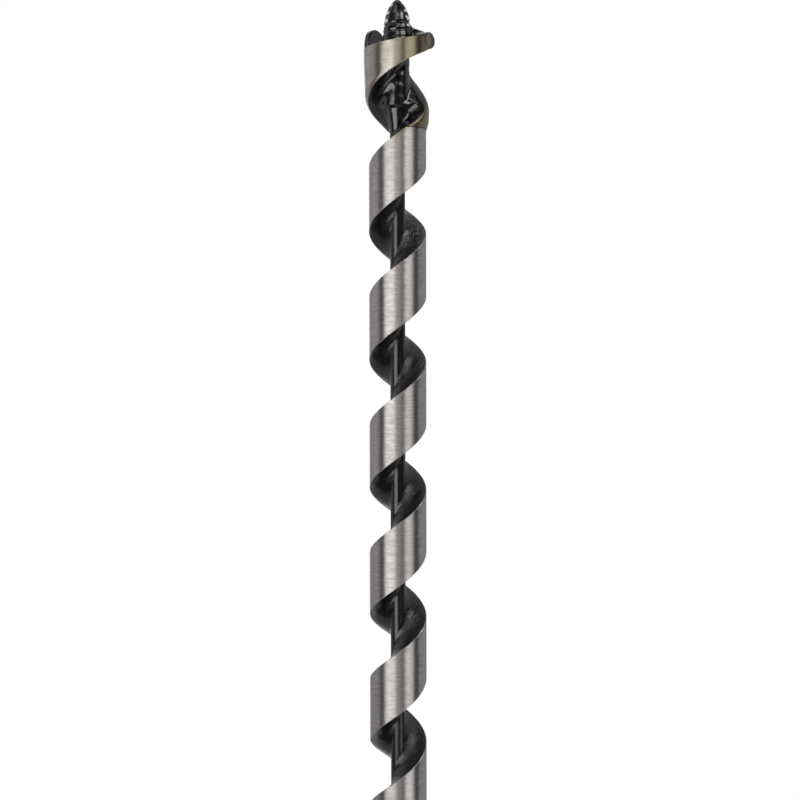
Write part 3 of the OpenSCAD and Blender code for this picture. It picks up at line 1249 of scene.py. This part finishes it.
@dataclass(frozen=True)
class HeadFlute:
    """The head's flute: a stout core, a dished chip floor, and a wall that ends upright under the lip.

    Each of the three waves that the hammer leaves in it is given by its radians per millimetre along x, y
    and z, and by its phase.
    """

    sizes: BitSizes
    full_land_drop: float = 8.0
    swell_drop: float = 1.0
    swell_l: float = 9.0
    core_slack: float = 0.45
    core_sway: float = 0.5
    sway_from: float = 6.4
    sway_l: float = 1.4
    sway_hold: float = 0.85
    dish_from: float = 2.0
    dish_l: float = 10.0
    wall_power: float = 1.75
    wall_probe: float = 0.05
    least_r: float = 1.0
    ceiling_fillet: float = 2.1
    floor_fillet: float = 0.6
    low_fillet: float = 2.4
    low_fillet_drop: float = 19.3
    low_fillet_l: float = 7.5
    low_fillet_ease: float = 2.0
    wave_h: float = 0.06
    fine_share: float = 0.6
    waves: tuple[tuple[float, float, float, float], ...] = (
        (0.9, 0.0, 0.7, 0.4),
        (0.0, 0.8, -1.1, 1.7),
        (0.5, -0.9, 1.7, 0.0),
    )

    def land_radius(self, z: np.ndarray) -> np.ndarray:
        """Gives the land's radius.

        Args:
            z: heights.

        Returns:
            The radius at each.
        """
        s = self.sizes
        heights = [*s.seam_step, s.lip_z - self.full_land_drop]
        return np.interp(z, heights, [s.body_d / 2, s.head_back_d / 2, s.head_d / 2])

    def core_radius(self, z: np.ndarray) -> np.ndarray:
        """Gives the core's radius, which swells from the twist's core to the head's.

        Args:
            z: heights.

        Returns:
            The radius at each.
        """
        s = self.sizes
        swell = ease((z - s.head_z + self.swell_drop) / self.swell_l)
        return s.core_d / 2 + swell * (s.head_core_d - self.core_slack - s.core_d) / 2

    def twist_angle(self, z: np.ndarray) -> np.ndarray:
        """Returns the twist's angle at heights, in degrees."""
        return 360 * (z - self.sizes.lip_z) / self.sizes.pitch

    def lead_angle(self, z: np.ndarray) -> np.ndarray:
        """Gives the angle of the land's leading edge: the twist, and an upright wall under the lip.

        Args:
            z: heights.

        Returns:
            The angle at each, in degrees.
        """
        s = self.sizes
        foot, top = s.wall_foot_z, s.lip_z - s.wall_top_drop
        share = np.clip((z - foot) / (top - foot), 0, 1)
        sweep = s.lip_angle - self.twist_angle(np.array(top))
        return self.twist_angle(np.minimum(z, top)) + sweep * share ** self.wall_power

    def forging(self, at: Spots) -> np.ndarray:
        """Gives the low waves that the hammer leaves in the flute.

        Args:
            at: points.

        Returns:
            The waves' height at each.
        """
        long, cross, fine = (np.sin(a * at.x + b * at.y + c * at.z + phase) for a, b, c, phase in self.waves)
        return self.wave_h * (long * cross + self.fine_share * fine)

    def distance(self, at: Spots) -> np.ndarray:
        """Measures to the flute's walls and core.

        Args:
            at: points.

        Returns:
            The distance of each, below zero in the solid.
        """
        s, z = self.sizes, at.z
        per_mm = TURN / s.pitch
        dish = s.floor_dish * ease((z - s.head_z - self.dish_from) / self.dish_l)
        lead = self.lead_angle(z)
        steep = np.radians(self.lead_angle(z + self.wall_probe) - self.lead_angle(z - self.wall_probe))
        steep = steep / (2 * self.wall_probe)
        back = self.twist_angle(z) + 360 * (1 - s.land_share)
        back = back - np.degrees(per_mm * dish * (self.land_radius(z) - at.radius))
        middle, half = (lead + back) / 2, (back - lead) / 2
        off = (at.angle - middle + 180) % 360 - 180
        outside = 1 / np.maximum(at.radius, self.least_r)
        ahead = np.radians(off + half) / np.hypot(outside, steep)
        behind = np.radians(half - off) / np.sqrt(outside ** 2 + per_mm ** 2 + (per_mm * dish) ** 2)
        sway = self.core_sway * ease((z - s.head_z - self.sway_from) / self.sway_l)
        core = np.hypot(at.x + sway, at.y) - self.core_radius(z) - self.sway_hold * sway
        waves = self.forging(at)
        below = s.lip_z - self.low_fillet_drop - z
        low = ease(below / self.low_fillet_ease) * ease((self.low_fillet_l - below) / self.low_fillet_ease)
        fillet = self.floor_fillet + (self.low_fillet - self.floor_fillet) * low
        floor = soft_least(core + waves, behind + waves, fillet)
        return soft_least(floor, ahead, self.ceiling_fillet)


@dataclass(frozen=True)
class LipCorner:
    """The round corner at the lip's outer end: a button with a ground oval, and a shallow groove round it."""

    sizes: BitSizes
    depth: float = 4.5
    size: float = 2.57
    drop: float = 1.3
    oval: float = 1.3
    button_r: float = 10.6
    reach: float = 0.1
    edge_round: float = 0.6
    ground_middle: float = 0.9
    ground_w: float = 1.9
    ground_h: float = 2.4
    ground_inset: float = 0.1
    groove_w: float = 0.8
    groove_depth: float = 0.3
    groove_round: float = 0.4

    def rise(self, at: Spots) -> np.ndarray:
        """Returns how far points lie above the corner's middle."""
        return at.z - self.sizes.lip_z + self.drop

    def frame(self, at: Spots) -> tuple[np.ndarray, np.ndarray, np.ndarray]:
        """Reads points in the corner's own frame.

        Args:
            at: points.

        Returns:
            How far they lie out along the corner's axis, across it, and outside its round outline.
        """
        s = self.sizes
        out, across = at.along(-s.relief_angle)
        tip = math.sqrt((s.cut_d / 2) ** 2 - self.button_r ** 2) + self.reach
        middle = tip - self.oval * self.size
        return out, across, np.hypot((across - middle) / self.oval, self.rise(at)) - self.size

    def distance(self, at: Spots) -> np.ndarray:
        """Measures to the button.

        Args:
            at: points.

        Returns:
            The distance of each, below zero in the solid.
        """
        out, _, disc = self.frame(at)
        slab = np.maximum(out - self.button_r, self.button_r - self.depth - out)
        return soft_most(disc, slab, self.edge_round)

    def groove(self, at: Spots) -> np.ndarray:
        """Measures to the groove.

        Args:
            at: points.

        Returns:
            The distance of each, below zero inside the groove.
        """
        out, _, disc = self.frame(at)
        return soft_most(disc - self.groove_w, self.button_r - self.groove_depth - out, self.groove_round)

    def ground_depth(self, at: Spots, near: float, below: np.ndarray) -> np.ndarray:
        """Measures into the ground faces: the button's oval, and the groove behind it.

        Args:
            at: points on the skin.
            near: how close to a face a point counts as on it.
            below: how far the points lie below the flank.

        Returns:
            The depths, above zero where the steel is ground.
        """
        out, across, disc = self.frame(at)
        oval = 1 - np.hypot((across - self.ground_middle) / self.ground_w, self.rise(at) / self.ground_h)
        face = np.minimum.reduce([near - np.abs(out - self.button_r), -self.ground_inset - disc, oval])
        deep = out - self.button_r + self.groove_depth + near
        behind = self.ground_middle - across
        return np.maximum(face, np.minimum.reduce([disc, self.groove_w - disc, deep, below, behind]))


@dataclass(frozen=True)
class LipBlade:
    """The lip's raised blade, which falls from the foot of the screw to the corner and slopes down behind."""

    sizes: BitSizes
    edge_round: float = 0.4
    root_r: float = 3.2
    root_drop: float = 2.4
    end_inset: float = 0.6
    end_drop: float = 0.95
    shoulder_inset: float = 1.4
    shoulder_sink: float = 0.25
    crest_reach: float = 0.8
    crest_sink: float = 0.15
    crest_t: float = 0.8
    back_drop: float = 1.0

    def outline_distance(self, u: np.ndarray, v: np.ndarray, outline: Sequence[Span]) -> np.ndarray:
        """Measures to a convex outline whose points run counter-clockwise.

        Args:
            u: first coordinate of the points.
            v: second coordinate.
            outline: the outline's points.

        Returns:
            The distances, below zero inside.
        """
        result = None
        for (u0, v0), (u1, v1) in zip(outline, [*outline[1:], outline[0]]):
            length = math.hypot(u1 - u0, v1 - v0)
            side = ((u - u0) * (v1 - v0) - (v - v0) * (u1 - u0)) / length
            result = side if result is None else soft_most(result, side, self.edge_round)
        return result

    def distance(self, at: Spots) -> np.ndarray:
        """Measures to the blade.

        Args:
            at: points.

        Returns:
            The distance of each, below zero in the solid.
        """
        s = self.sizes
        root_z, end_z, back_z = (s.lip_z - drop for drop in (self.root_drop, self.end_drop, self.back_drop))
        end_r, shoulder_r = s.face_r - self.end_inset, s.face_r - self.shoulder_inset
        shoulder_z = end_z + s.corner_r - self.shoulder_sink
        crest_r, crest_z = s.screw_d / 2 + self.crest_reach, s.screw_z - self.crest_sink
        out, ahead = at.along(s.lip_angle)
        side = self.outline_distance(out, at.z, [
            (self.root_r, root_z),
            (end_r, root_z),
            (end_r, end_z),
            (shoulder_r, shoulder_z),
            (crest_r, crest_z),
            (self.root_r, crest_z),
        ])
        across = self.outline_distance(ahead, at.z, [
            (0, root_z),
            (0, s.screw_z),
            (-self.crest_t, s.screw_z),
            (-s.blade_t, back_z),
            (-s.blade_t, root_z),
        ])
        return soft_most(side, across, self.edge_round)


@dataclass(frozen=True)
class ScoringSpur:
    """The scoring spur: a leaf-shaped lobe that leans out, with a flat inner face and a bevelled rim."""

    sizes: BitSizes
    half_w: float = 5.3
    right_w: float = 6.1
    round_h: float = 7.5
    drop: float = 0.35
    turn: float = 3.3
    lean: float = 0.72
    face_turn: float = 8.5
    depth: float = 2.2
    rim_t: float = 1.8
    bevel: float = 0.8
    edge_round: float = 0.2

    def radius(self, z: np.ndarray) -> np.ndarray:
        """Gives the radius of the outer face, which leans out towards the cut circle.

        Args:
            z: heights.

        Returns:
            The radius at each.
        """
        s = self.sizes
        root_r = s.head_d / 2
        return np.interp(z, [s.wall_foot_z, s.lip_z + s.spur_rise], [root_r, root_r + self.lean])

    def distance(self, at: Spots) -> np.ndarray:
        """Measures to the spur.

        Args:
            at: points.

        Returns:
            The distance of each, below zero in the solid.
        """
        s = self.sizes
        out, across = at.along(s.spur_angle + self.turn)
        middle_z = s.lip_z + s.spur_rise - self.drop - self.round_h
        half_w = np.where(across > 0, self.half_w, self.right_w)
        u, v = across / half_w, np.maximum(at.z - middle_z, 0) / self.round_h
        share = np.hypot(u, v)
        lobe = share * (share - 1) / np.maximum(np.hypot(u / half_w, v / self.round_h), TINY)
        outer_r = self.radius(at.z)
        depth = np.minimum(self.depth, self.rim_t + np.maximum(-lobe, 0) * self.bevel)
        face = math.radians(self.face_turn)
        inner = outer_r - depth - out * math.cos(face) - across * math.sin(face)
        leaf = soft_most(lobe, at.radius - outer_r, self.edge_round)
        return np.maximum(soft_most(leaf, inner, self.edge_round), s.wall_foot_z - at.z)


@dataclass(frozen=True)
class ScrewBoss:
    """The boss of the lead screw, onto which the thread runs out."""

    sizes: BitSizes
    screw: LeadScrew
    thread_run: float = 4.5
    foot_drop: float = 5.5
    foot_inset: float = 0.9
    full_drop: float = 1.5
    swell: float = 0.4

    def distance(self, at: Spots) -> np.ndarray:
        """Measures to the boss.

        Args:
            at: points.

        Returns:
            The distance of each, below zero in the solid.
        """
        s, z = self.sizes, at.z
        turns = (s.overall_l - z) / self.screw.thread_pitch + at.angle / 360
        fade = np.clip((z - s.screw_z + self.thread_run) / self.thread_run, 0, 1)
        groove = (0.5 + 0.5 * np.cos(TURN * turns)) ** self.screw.groove_power
        cut = self.screw.thread_depth * fade * groove
        foot_z, screw_r = s.lip_z - self.foot_drop, s.screw_d / 2
        heights = [foot_z, s.lip_z - self.full_drop, s.screw_z]
        profile = np.interp(z, heights, [s.head_core_d / 2 - self.foot_inset, screw_r + self.swell, screw_r])
        profile = np.where(z > s.screw_z, self.screw.crest_radius(s.overall_l - z), profile)
        return np.maximum(at.radius - profile + cut, foot_z - z)


@dataclass
class CuttingHead:
    """The forged head: flute, ground land and flank, lip with its corner and blade, scoring spur and boss."""

    sizes: BitSizes
    land: GroundSteel
    black: BlackOxide
    screw: LeadScrew
    edge_round: float = 0.2
    low_round: float = 1.9
    low_round_rise: float = 3.0
    low_round_drop: float = 11.0
    low_round_fade: float = 6.0
    corner_fillet: float = 0.3
    boss_fillet: float = 1.6
    lump_fillet: float = 0.9
    spur_fillet: float = 0.6
    seat_gap: float = 0.03
    tang_gap: float = 0.02
    ground_near: float = 0.15
    ground_slack: float = 0.4
    ground_over: float = 0.1
    seam_line: float = 0.28
    spur_clear: float = 0.3
    lip_tint_x: Span = (-2.5, 3.5)
    lip_tint_least: float = 0.05
    end_tint_x: Span = (8.6, 9.4)
    end_tint: float = 0.88
    band_left_x: Span = (-9.6, -8.4)
    band_right_x: Span = (-5.0, -6.2)
    band_tint: float = 0.42
    cell: float = 0.26
    side_room: float = 0.3
    top_room: float = 1.2
    normal_inset: float = 0.3
    flute: HeadFlute = field(init=False)
    corner: LipCorner = field(init=False)
    blade: LipBlade = field(init=False)
    spur: ScoringSpur = field(init=False)
    boss: ScrewBoss = field(init=False)

    def __post_init__(self) -> None:
        """Makes the forms that the head is joined from."""
        self.flute = HeadFlute(self.sizes)
        self.corner = LipCorner(self.sizes)
        self.blade = LipBlade(self.sizes)
        self.spur = ScoringSpur(self.sizes)
        self.boss = ScrewBoss(self.sizes, self.screw)

    def flank_height(self, x: np.ndarray) -> np.ndarray:
        """Returns the height of the tilted flank behind the lip."""
        s = self.sizes
        return s.lip_z - s.flank_drop + math.tan(math.radians(s.flank_tilt)) * x

    def land_round(self, z: np.ndarray) -> np.ndarray:
        """Gives how widely the land's edges are rounded: most on the lower half of the head.

        Args:
            z: heights.

        Returns:
            The reach of the rounding at each.
        """
        s = self.sizes
        rise = ease((z - s.head_z) / self.low_round_rise)
        fade = ease((s.lip_z - self.low_round_drop - z) / self.low_round_fade)
        return self.edge_round + self.low_round * rise * fade

    def distance(self, points: np.ndarray) -> np.ndarray:
        """Measures to the whole head.

        Args:
            points: points in millimetres.

        Returns:
            The distance of each, below zero in the solid.
        """
        s, at = self.sizes, Spots.of(points)
        z = at.z
        flank = (z - self.flank_height(at.x)) * math.cos(math.radians(s.flank_tilt))
        land = at.radius - self.flute.land_radius(z)
        body = soft_most(self.flute.distance(at), land, self.land_round(z))
        body = soft_most(body, flank, self.edge_round)
        body = soft_most(body, -self.corner.groove(at), self.edge_round)
        _, ahead = at.along(s.lip_angle)
        corner = soft_most(self.corner.distance(at), ahead, self.edge_round)
        body = soft_least(body, corner, self.corner_fillet)
        raised = soft_least(self.boss.distance(at), self.blade.distance(at), self.boss_fillet)
        body = soft_least(body, raised, self.lump_fillet)
        seat_r = self.screw.crest_radius(s.overall_l - z) + self.seat_gap
        body = np.maximum(body, np.minimum(z - s.screw_z, seat_r - at.radius))
        body = soft_least(body, self.spur.distance(at), self.spur_fillet)
        hole_z = s.screw_z - s.tang_l - self.tang_gap
        hole = np.maximum(at.radius - s.tang_d / 2 - self.tang_gap, hole_z - z)
        return np.maximum(np.maximum(body, -hole), s.head_z - z)

    def ground_depth(self, points: np.ndarray) -> np.ndarray:
        """Measures into the ground faces: the land, and those of the corner.

        Args:
            points: points on the skin, in millimetres.

        Returns:
            The depths, above zero where the steel is ground.
        """
        s, at = self.sizes, Spots.of(points)
        slack = self.ground_near + self.ground_slack * (self.land_round(at.z) - self.edge_round)
        skin = slack - np.abs(at.radius - self.flute.land_radius(at.z))
        below = self.flank_height(at.x) + self.ground_over - at.z
        off_spur = np.maximum(s.wall_foot_z - at.z, self.spur.distance(at) - self.spur_clear)
        land = np.minimum.reduce([skin, below, at.z - s.head_z - self.seam_line, off_spur])
        return np.maximum(land, self.corner.ground_depth(at, self.ground_near, below))

    def tinted(self, shader: Shader) -> Socket:
        """Gives the temper tint, which grows towards the cutting lip.

        Args:
            shader: the land's shader.

        Returns:
            The tint's share, from 0 to 1.
        """
        lip_side = shader.ranged(shader.x, *self.lip_tint_x, self.lip_tint_least, 1.0)
        end = shader.ranged(shader.x, *self.end_tint_x, 1.0, self.end_tint)
        lip_side = shader.math("MULTIPLY", lip_side, end)
        left, right = (shader.ranged(shader.x, *span) for span in (self.band_left_x, self.band_right_x))
        band = shader.math("MULTIPLY", shader.math("MULTIPLY", left, right), self.band_tint)
        return shader.math("MAXIMUM", lip_side, band)

    def build(self) -> bpy.types.Object:
        """Builds the piece.

        Returns:
            The head, in place of its solid.
        """
        s = self.sizes
        reach = s.cut_d / 2 + self.side_room
        low = (-reach, -reach, s.head_z - self.cell / 2)
        high = (reach, reach, s.lip_z + s.spur_rise + self.top_room)
        skin = LatticeSkin(self.distance, low, high, self.cell)
        drawn, quads = skin.draw()
        points, faces, ground = cut_along(drawn, quads, self.ground_depth(drawn))
        mesh = plain_mesh("cutting_head_body", points, faces)
        counts = np.array([len(face) for face in faces])
        corner = points[np.concatenate(faces)]
        centre = np.add.reduceat(corner, np.cumsum(counts) - counts) / counts[:, None]
        inward = self.normal_inset * np.repeat(centre, counts, axis=0)
        normals = skin.normals((1 - self.normal_inset) * corner + inward)
        mesh.materials.append(self.black.material(s))
        mesh.materials.append(self.land.material(self.tinted))
        mesh.shade_smooth()
        mesh.polygons.foreach_set("material_index", ground.astype(np.int32))
        mesh.normals_split_custom_set(normals.tolist())
        return place_piece("cutting_head_body", mesh, "cutting_head")


@dataclass
class Shank:
    """The hex shank and its round neck: rings whose radius follows the hexagon, the crown and the dome."""

    sizes: BitSizes
    finish: OxideFinish
    sides: int = 6
    around: int = 360
    fine_step: float = 0.1
    coarse_step: float = 2.5
    fine_margin: float = 0.2
    fine_drop: float = 2.4
    edge_round: float = 0.2
    corner_break: float = 0.05
    end_inset: float = 0.5
    flat_runout: float = 2.0

    def heights(self) -> np.ndarray:
        """Lists the rings' heights, close together at the crown and where the flats run out.

        Returns:
            The heights, from the end face up.
        """
        s = self.sizes
        crown_z = s.end_crown + self.fine_margin
        low_z, high_z = s.hex_l - self.fine_drop, s.hex_l + self.fine_margin
        fine = [np.arange(a, b, self.fine_step) for a, b in ((0, crown_z), (low_z, high_z))]
        coarse = [np.arange(a, b, self.coarse_step) for a, b in ((crown_z, low_z), (high_z, s.shank_l))]
        decimals = 4
        return np.unique(np.round(np.concatenate([*fine, *coarse, [s.shank_l]]), decimals))

    def radius(self, angle: np.ndarray, z: np.ndarray) -> np.ndarray:
        """Returns the shank's radius.

        Args:
            angle: angles in degrees.
            z: heights.

        Returns:
            The radius at each pair.
        """
        s = self.sizes
        flat, neck, runout = s.hex_af / 2, s.neck_d / 2, self.flat_runout
        sector = 360 / self.sides
        corner = flat / math.cos(math.radians(sector / 2))
        end = flat - self.end_inset
        crown_z = (corner ** 2 + s.end_crown ** 2 - end ** 2) / (2 * s.end_crown)
        crown = np.sqrt(end ** 2 + crown_z ** 2 - np.minimum(z - crown_z, 0) ** 2)
        dome_z = s.hex_l + (neck ** 2 - flat ** 2 - runout ** 2) / (2 * runout)
        dome_r = math.hypot(neck, dome_z - s.hex_l)
        dome = np.sqrt(np.maximum(dome_r ** 2 - np.minimum(z - dome_z, 0) ** 2, 0))
        sides = flat / np.cos(np.radians(angle % sector - sector / 2))
        sides = soft_least(sides, np.full_like(sides, corner - self.corner_break), self.edge_round)
        return np.maximum(np.minimum(sides, crown), np.minimum(dome, neck))

    def build(self) -> bpy.types.Object:
        """Builds the piece.

        Returns:
            The shank, in place of its solid.
        """
        heights = self.heights()
        angle = np.arange(self.around) * 360 / self.around
        turn, z = np.meshgrid(angle, heights)
        radius = self.radius(turn, z)
        ring = np.stack([radius * np.cos(np.radians(turn)), radius * np.sin(np.radians(turn)), z], axis=-1)
        points = np.concatenate([ring.reshape(-1, 3), [[0, 0, heights[0]], [0, 0, heights[-1]]]])
        n, bottom = self.around, ring[..., 0].size
        top, last = bottom + 1, bottom - n
        faces = strip_faces(len(heights), n, wrap=True)
        faces += [(bottom, (j + 1) % n, j) for j in range(n)]
        faces += [(top, last + j, last + (j + 1) % n) for j in range(n)]
        mesh = plain_mesh("hex_shank", points, faces)
        shade(mesh)
        mesh.materials.append(self.finish.material())
        return place_piece("hex_shank", mesh, "shank")


@dataclass(frozen=True)
class Card:
    """A card that only reflections see: a strip of a round wall about the bit, with an apron on the floor."""

    name: str
    from_angle: float
    to_angle: float
    level: float
    foot: float
    head: float
    apron: bool = False
    tone: Tone = Tone.COOL


@dataclass(frozen=True)
class Softbox:
    """A lamp that faces the bit, at an angle to the right of the camera and with its top leaning left."""

    name: str
    angle: float
    height: float
    width: float
    tall: float
    watts: float
    lean: float = 0.0


@dataclass
class Studio:
    """Camera, lamps, white surround, pale floor and the cards that draw bands on bright steel."""

    camera_back: float = 494.946
    camera_height: float = 345.96
    camera_side: float = 0.68
    camera_dip: float = 0.0453
    camera_roll: float = -0.00162
    lens: float = 69.87
    sensor: float = 36.0
    clip: Span = (0.01, 50.0)
    surround: float = 0.6
    wall_r: float = 800.0
    apron_r: float = 60.0
    card_steps: int = 8
    floor_r: float = 560.0
    floor_gap: float = 0.05
    floor_steps: int = 96
    floor_fade: Span = (0.35, 0.95)
    floor_paint: Colour = (0.86, 0.86, 0.86)
    lamp_share: float = 0.85
    lamps: tuple[Softbox, ...] = (
        Softbox("softbox_left", -32, 270, 540, 520, 1.63, 16),
        Softbox("softbox_right", 49.8, 900, 470, 500, 1.95),
    )
    cards: tuple[Card, ...] = (
        Card("card_front", -11, 16, 0.07, 20, 690, tone=Tone.WARM),
        Card("card_front_top", -11, 16, 2.2, 690, 1300, tone=Tone.WARM),
        Card("card_front_high", -11, 16, 0.04, 1300, 3000, tone=Tone.WARM),
        Card("apron_front", -11, 16, 0.4, 4, 6, True, Tone.WARM),
        Card("apron_front_left", -56, -11, 0.02, 4, 6, True),
        Card("apron_right", 31, 68, 1.9, 3, 4, True),
        Card("card_front_right", 16, 31, 0.0, 5, 3000, True),
        Card("card_right_low", 31, 68, 0.1, 5, 640),
        Card("card_right_top", 31, 68, 0.04, 1200, 3000),
        Card("card_left_top", -56, -11, 0.05, 520, 1200),
        Card("card_left_dark", -82, -56, 0.04, 5, 3000, True),
        Card("card_left_back", -128, -82, 0.5, 200, 2955),
        Card("card_left_rear", -152, -128, 0.33, 200, 2955),
        Card("card_left_behind", -180, -152, 0.9, 5, 1300, True),
        Card("apron_left", -180, -82, 0.3, 5, 200, True),
        Card("card_right_dark", 68, 92, 0.0, 5, 3000, True),
        Card("card_right_back", 92, 150, 0.36, 5, 2955, True),
        Card("card_right_rear", 150, 166, 0.3, 5, 2955, True),
        Card("card_right_behind", 166, 180, 0.9, 5, 1300, True),
        Card("roof_front", -90, 90, 0.03, 2950, 2960, True),
        Card("roof_back", 90, 270, 0.4, 2950, 2960, True),
    )

    def camera(self) -> None:
        """Sets the camera where the photograph was taken from."""
        data = bpy.data.cameras.new("camera")
        data.sensor_width = self.sensor
        data.lens = self.lens
        data.clip_start, data.clip_end = self.clip
        camera = add_object("camera", data)
        place = Matrix.Translation((self.camera_side * MM, -self.camera_back * MM, self.camera_height * MM))
        dip = Matrix.Rotation(math.pi / 2 - self.camera_dip, 4, "X")
        camera.matrix_world = place @ dip @ Matrix.Rotation(self.camera_roll, 4, "Z")
        bpy.context.scene.camera = camera

    def world(self) -> None:
        """Makes the surround white where it is seen or mirrored, and a little dimmer where it lights."""
        world = bpy.data.worlds.new("white_surround")
        world.use_nodes = True
        bench = Bench(world.node_tree)
        path = bench.node("ShaderNodeLightPath")
        seen = bench.math("MAXIMUM", path.outputs["Is Camera Ray"], path.outputs["Is Glossy Ray"])
        seen = bench.math("MAXIMUM", seen, path.outputs["Is Transmission Ray"])
        sky = world.node_tree.nodes["Background"]
        sky.inputs["Color"].default_value = (1.0, 1.0, 1.0, 1.0)
        bench.feed(sky.inputs["Strength"], bench.ranged(seen, 0.0, 1.0, self.surround, 1.0))
        bpy.context.scene.world = world

    def lamp(self, softbox: Softbox) -> None:
        """Adds a softbox.

        Args:
            softbox: its place, size and power.
        """
        data = bpy.data.lights.new(softbox.name, "AREA")
        data.shape = "RECTANGLE"
        data.size, data.size_y = softbox.width * MM, softbox.tall * MM
        data.energy = softbox.watts
        turn = math.radians(softbox.angle)
        reach = self.lamp_share * self.wall_r
        right, forward = reach * math.sin(turn), -reach * math.cos(turn)
        place = Matrix.Translation((right * MM, forward * MM, softbox.height * MM))
        facing = Matrix.Rotation(turn, 4, "Z") @ Matrix.Rotation(math.pi / 2, 4, "X")
        lamp = add_object(softbox.name, data)
        lamp.matrix_world = place @ facing @ Matrix.Rotation(math.radians(softbox.lean), 4, "Z")
        lamp.visible_camera = False

    def card(self, card: Card) -> None:
        """Hangs one card on the round wall.

        Args:
            card: its place and brightness.
        """
        columns = self.card_steps + 1
        turns = np.radians(np.linspace(card.from_angle, card.to_angle, columns))
        way_out = np.stack([np.sin(turns), -np.cos(turns)], axis=1)
        edges = [(self.wall_r, card.foot), (self.wall_r, card.head)]
        if card.apron:
            edges = [(self.apron_r, card.foot), *edges]
        rows = [np.column_stack([way_out * reach, np.full(columns, height)]) for reach, height in edges]
        mesh = plain_mesh(card.name, np.concatenate(rows), strip_faces(len(rows), columns))
        material = blank_material(card.name)
        bench = Bench(material.node_tree)
        glow = bench.wired("ShaderNodeEmission", {"Color": (*card.tone.value, 1.0), "Strength": card.level})
        bench.feed(material.node_tree.nodes["Material Output"].inputs["Surface"], glow.outputs[0])
        mesh.materials.append(material)
        hung = add_object(card.name, mesh)
        hung.visible_camera = False
        hung.visible_diffuse = False
        hung.visible_shadow = False
        hung.visible_transmission = False

    def floor(self) -> None:
        """Lays the pale floor, a disc that fades into the white surround and is clear from below."""
        turns = np.linspace(0, TURN, self.floor_steps, endpoint=False)
        across, up = self.floor_r * np.cos(turns), self.floor_r * np.sin(turns)
        rim = np.stack([across, up, np.full(self.floor_steps, -self.floor_gap)], axis=1)
        mesh = plain_mesh("floor", rim, [range(self.floor_steps)])
        material = blank_material("pale_floor")
        tree = material.node_tree
        bench = Bench(tree)
        place = bench.node("ShaderNodeTexCoord").outputs["Object"]
        reach = bench.vector("LENGTH", place).outputs["Value"]
        fade_from, fade_to = (share * self.floor_r * MM for share in self.floor_fade)
        fade = bench.ranged(reach, fade_from, fade_to, smooth=True)
        paint = tree.nodes["Principled BSDF"]
        paint.inputs["Base Color"].default_value = (*self.floor_paint, 1.0)
        paint.inputs["Roughness"].default_value = 1.0
        paint.inputs["Specular IOR Level"].default_value = 0.0
        clear = bench.node("ShaderNodeBsdfTransparent").outputs[0]
        under = bench.node("ShaderNodeNewGeometry").outputs["Backfacing"]
        hidden = bench.math("MAXIMUM", fade, under)
        mix = bench.wired("ShaderNodeMixShader", {0: hidden, 1: paint.outputs[0], 2: clear})
        bench.feed(tree.nodes["Material Output"].inputs["Surface"], mix.outputs[0])
        mesh.materials.append(material)
        laid = add_object("floor", mesh)

    def build(self) -> None:
        """Sets up the whole studio."""
        self.camera()
        self.world()
        self.floor()
        for card in self.cards:
            self.card(card)
        for softbox in self.lamps:
            self.lamp(softbox)
        bpy.context.scene.view_settings.view_transform = "Standard"


STEEL = GroundSteel(
    "ground_steel",
    bright=(0.64, 0.618, 0.592),
    dull=(0.46, 0.446, 0.428),
    tint=(0.5, 0.46, 0.31),
    tint_share=0.0,
)
STRAW = GroundSteel(
    "straw_steel",
    bright=(0.75, 0.725, 0.65),
    dull=(0.57, 0.55, 0.485),
    tint=(0.31, 0.279, 0.172),
    tint_share=0.35,
)
FLUTE_BLACK = BlackOxide(
    "flute_black",
    dark=(0.006, 0.006, 0.0065),
    light=(0.008, 0.008, 0.0085),
    smoothest=0.14,
    roughest=0.24,
    ior=1.6,
    speck_colour=(0.5, 0.5, 0.49),
    speck_share=0.38,
    scale_sheen_share=1.0,
    grain_depth=0.2,
    wave_depth=0.02,
)
HEAD_BLACK = BlackOxide(
    "head_black",
    dark=(0.004, 0.004, 0.0045),
    light=(0.006, 0.006, 0.0065),
    smoothest=0.12,
    roughest=0.2,
    ior=1.75,
    speck_colour=(0.2, 0.2, 0.2),
    speck_share=0.2,
    scale_sheen_share=0.0,
    grain_depth=0.002,
    wave_depth=0.03,
)
THREAD_BLACK = ThreadWearAndPaintedHighlight(
    "thread_black",
    black=(0.005, 0.005, 0.005),
    crest=(0.88, 0.85, 0.71),
    rough=0.16,
    ior=1.75,
)
SHANK_OXIDE = OxideFinish(
    "dark_oxide",
    dark=(0.14, 0.14, 0.145),
    light=(0.2, 0.2, 0.205),
    metal=0.9,
    smoothest=0.28,
    roughest=0.4,
)


def main() -> None:
    """Builds the studio and the pieces in order, and reports each piece."""
    logging.basicConfig(level=logging.INFO, format="%(name)s: %(message)s")
    sizes = BitSizes()
    Studio().build()
    screw = LeadScrew(sizes, THREAD_BLACK)
    pieces = (
        Shank(sizes, SHANK_OXIDE),
        Twist(sizes, STEEL, FLUTE_BLACK),
        CuttingHead(sizes, STRAW, HEAD_BLACK, screw),
        screw,
    )
    for part in pieces:
        piece = part.build()
        LOG.info("%s: %d faces", piece.name, len(piece.data.polygons))


if __name__ == "__main__":
    main()
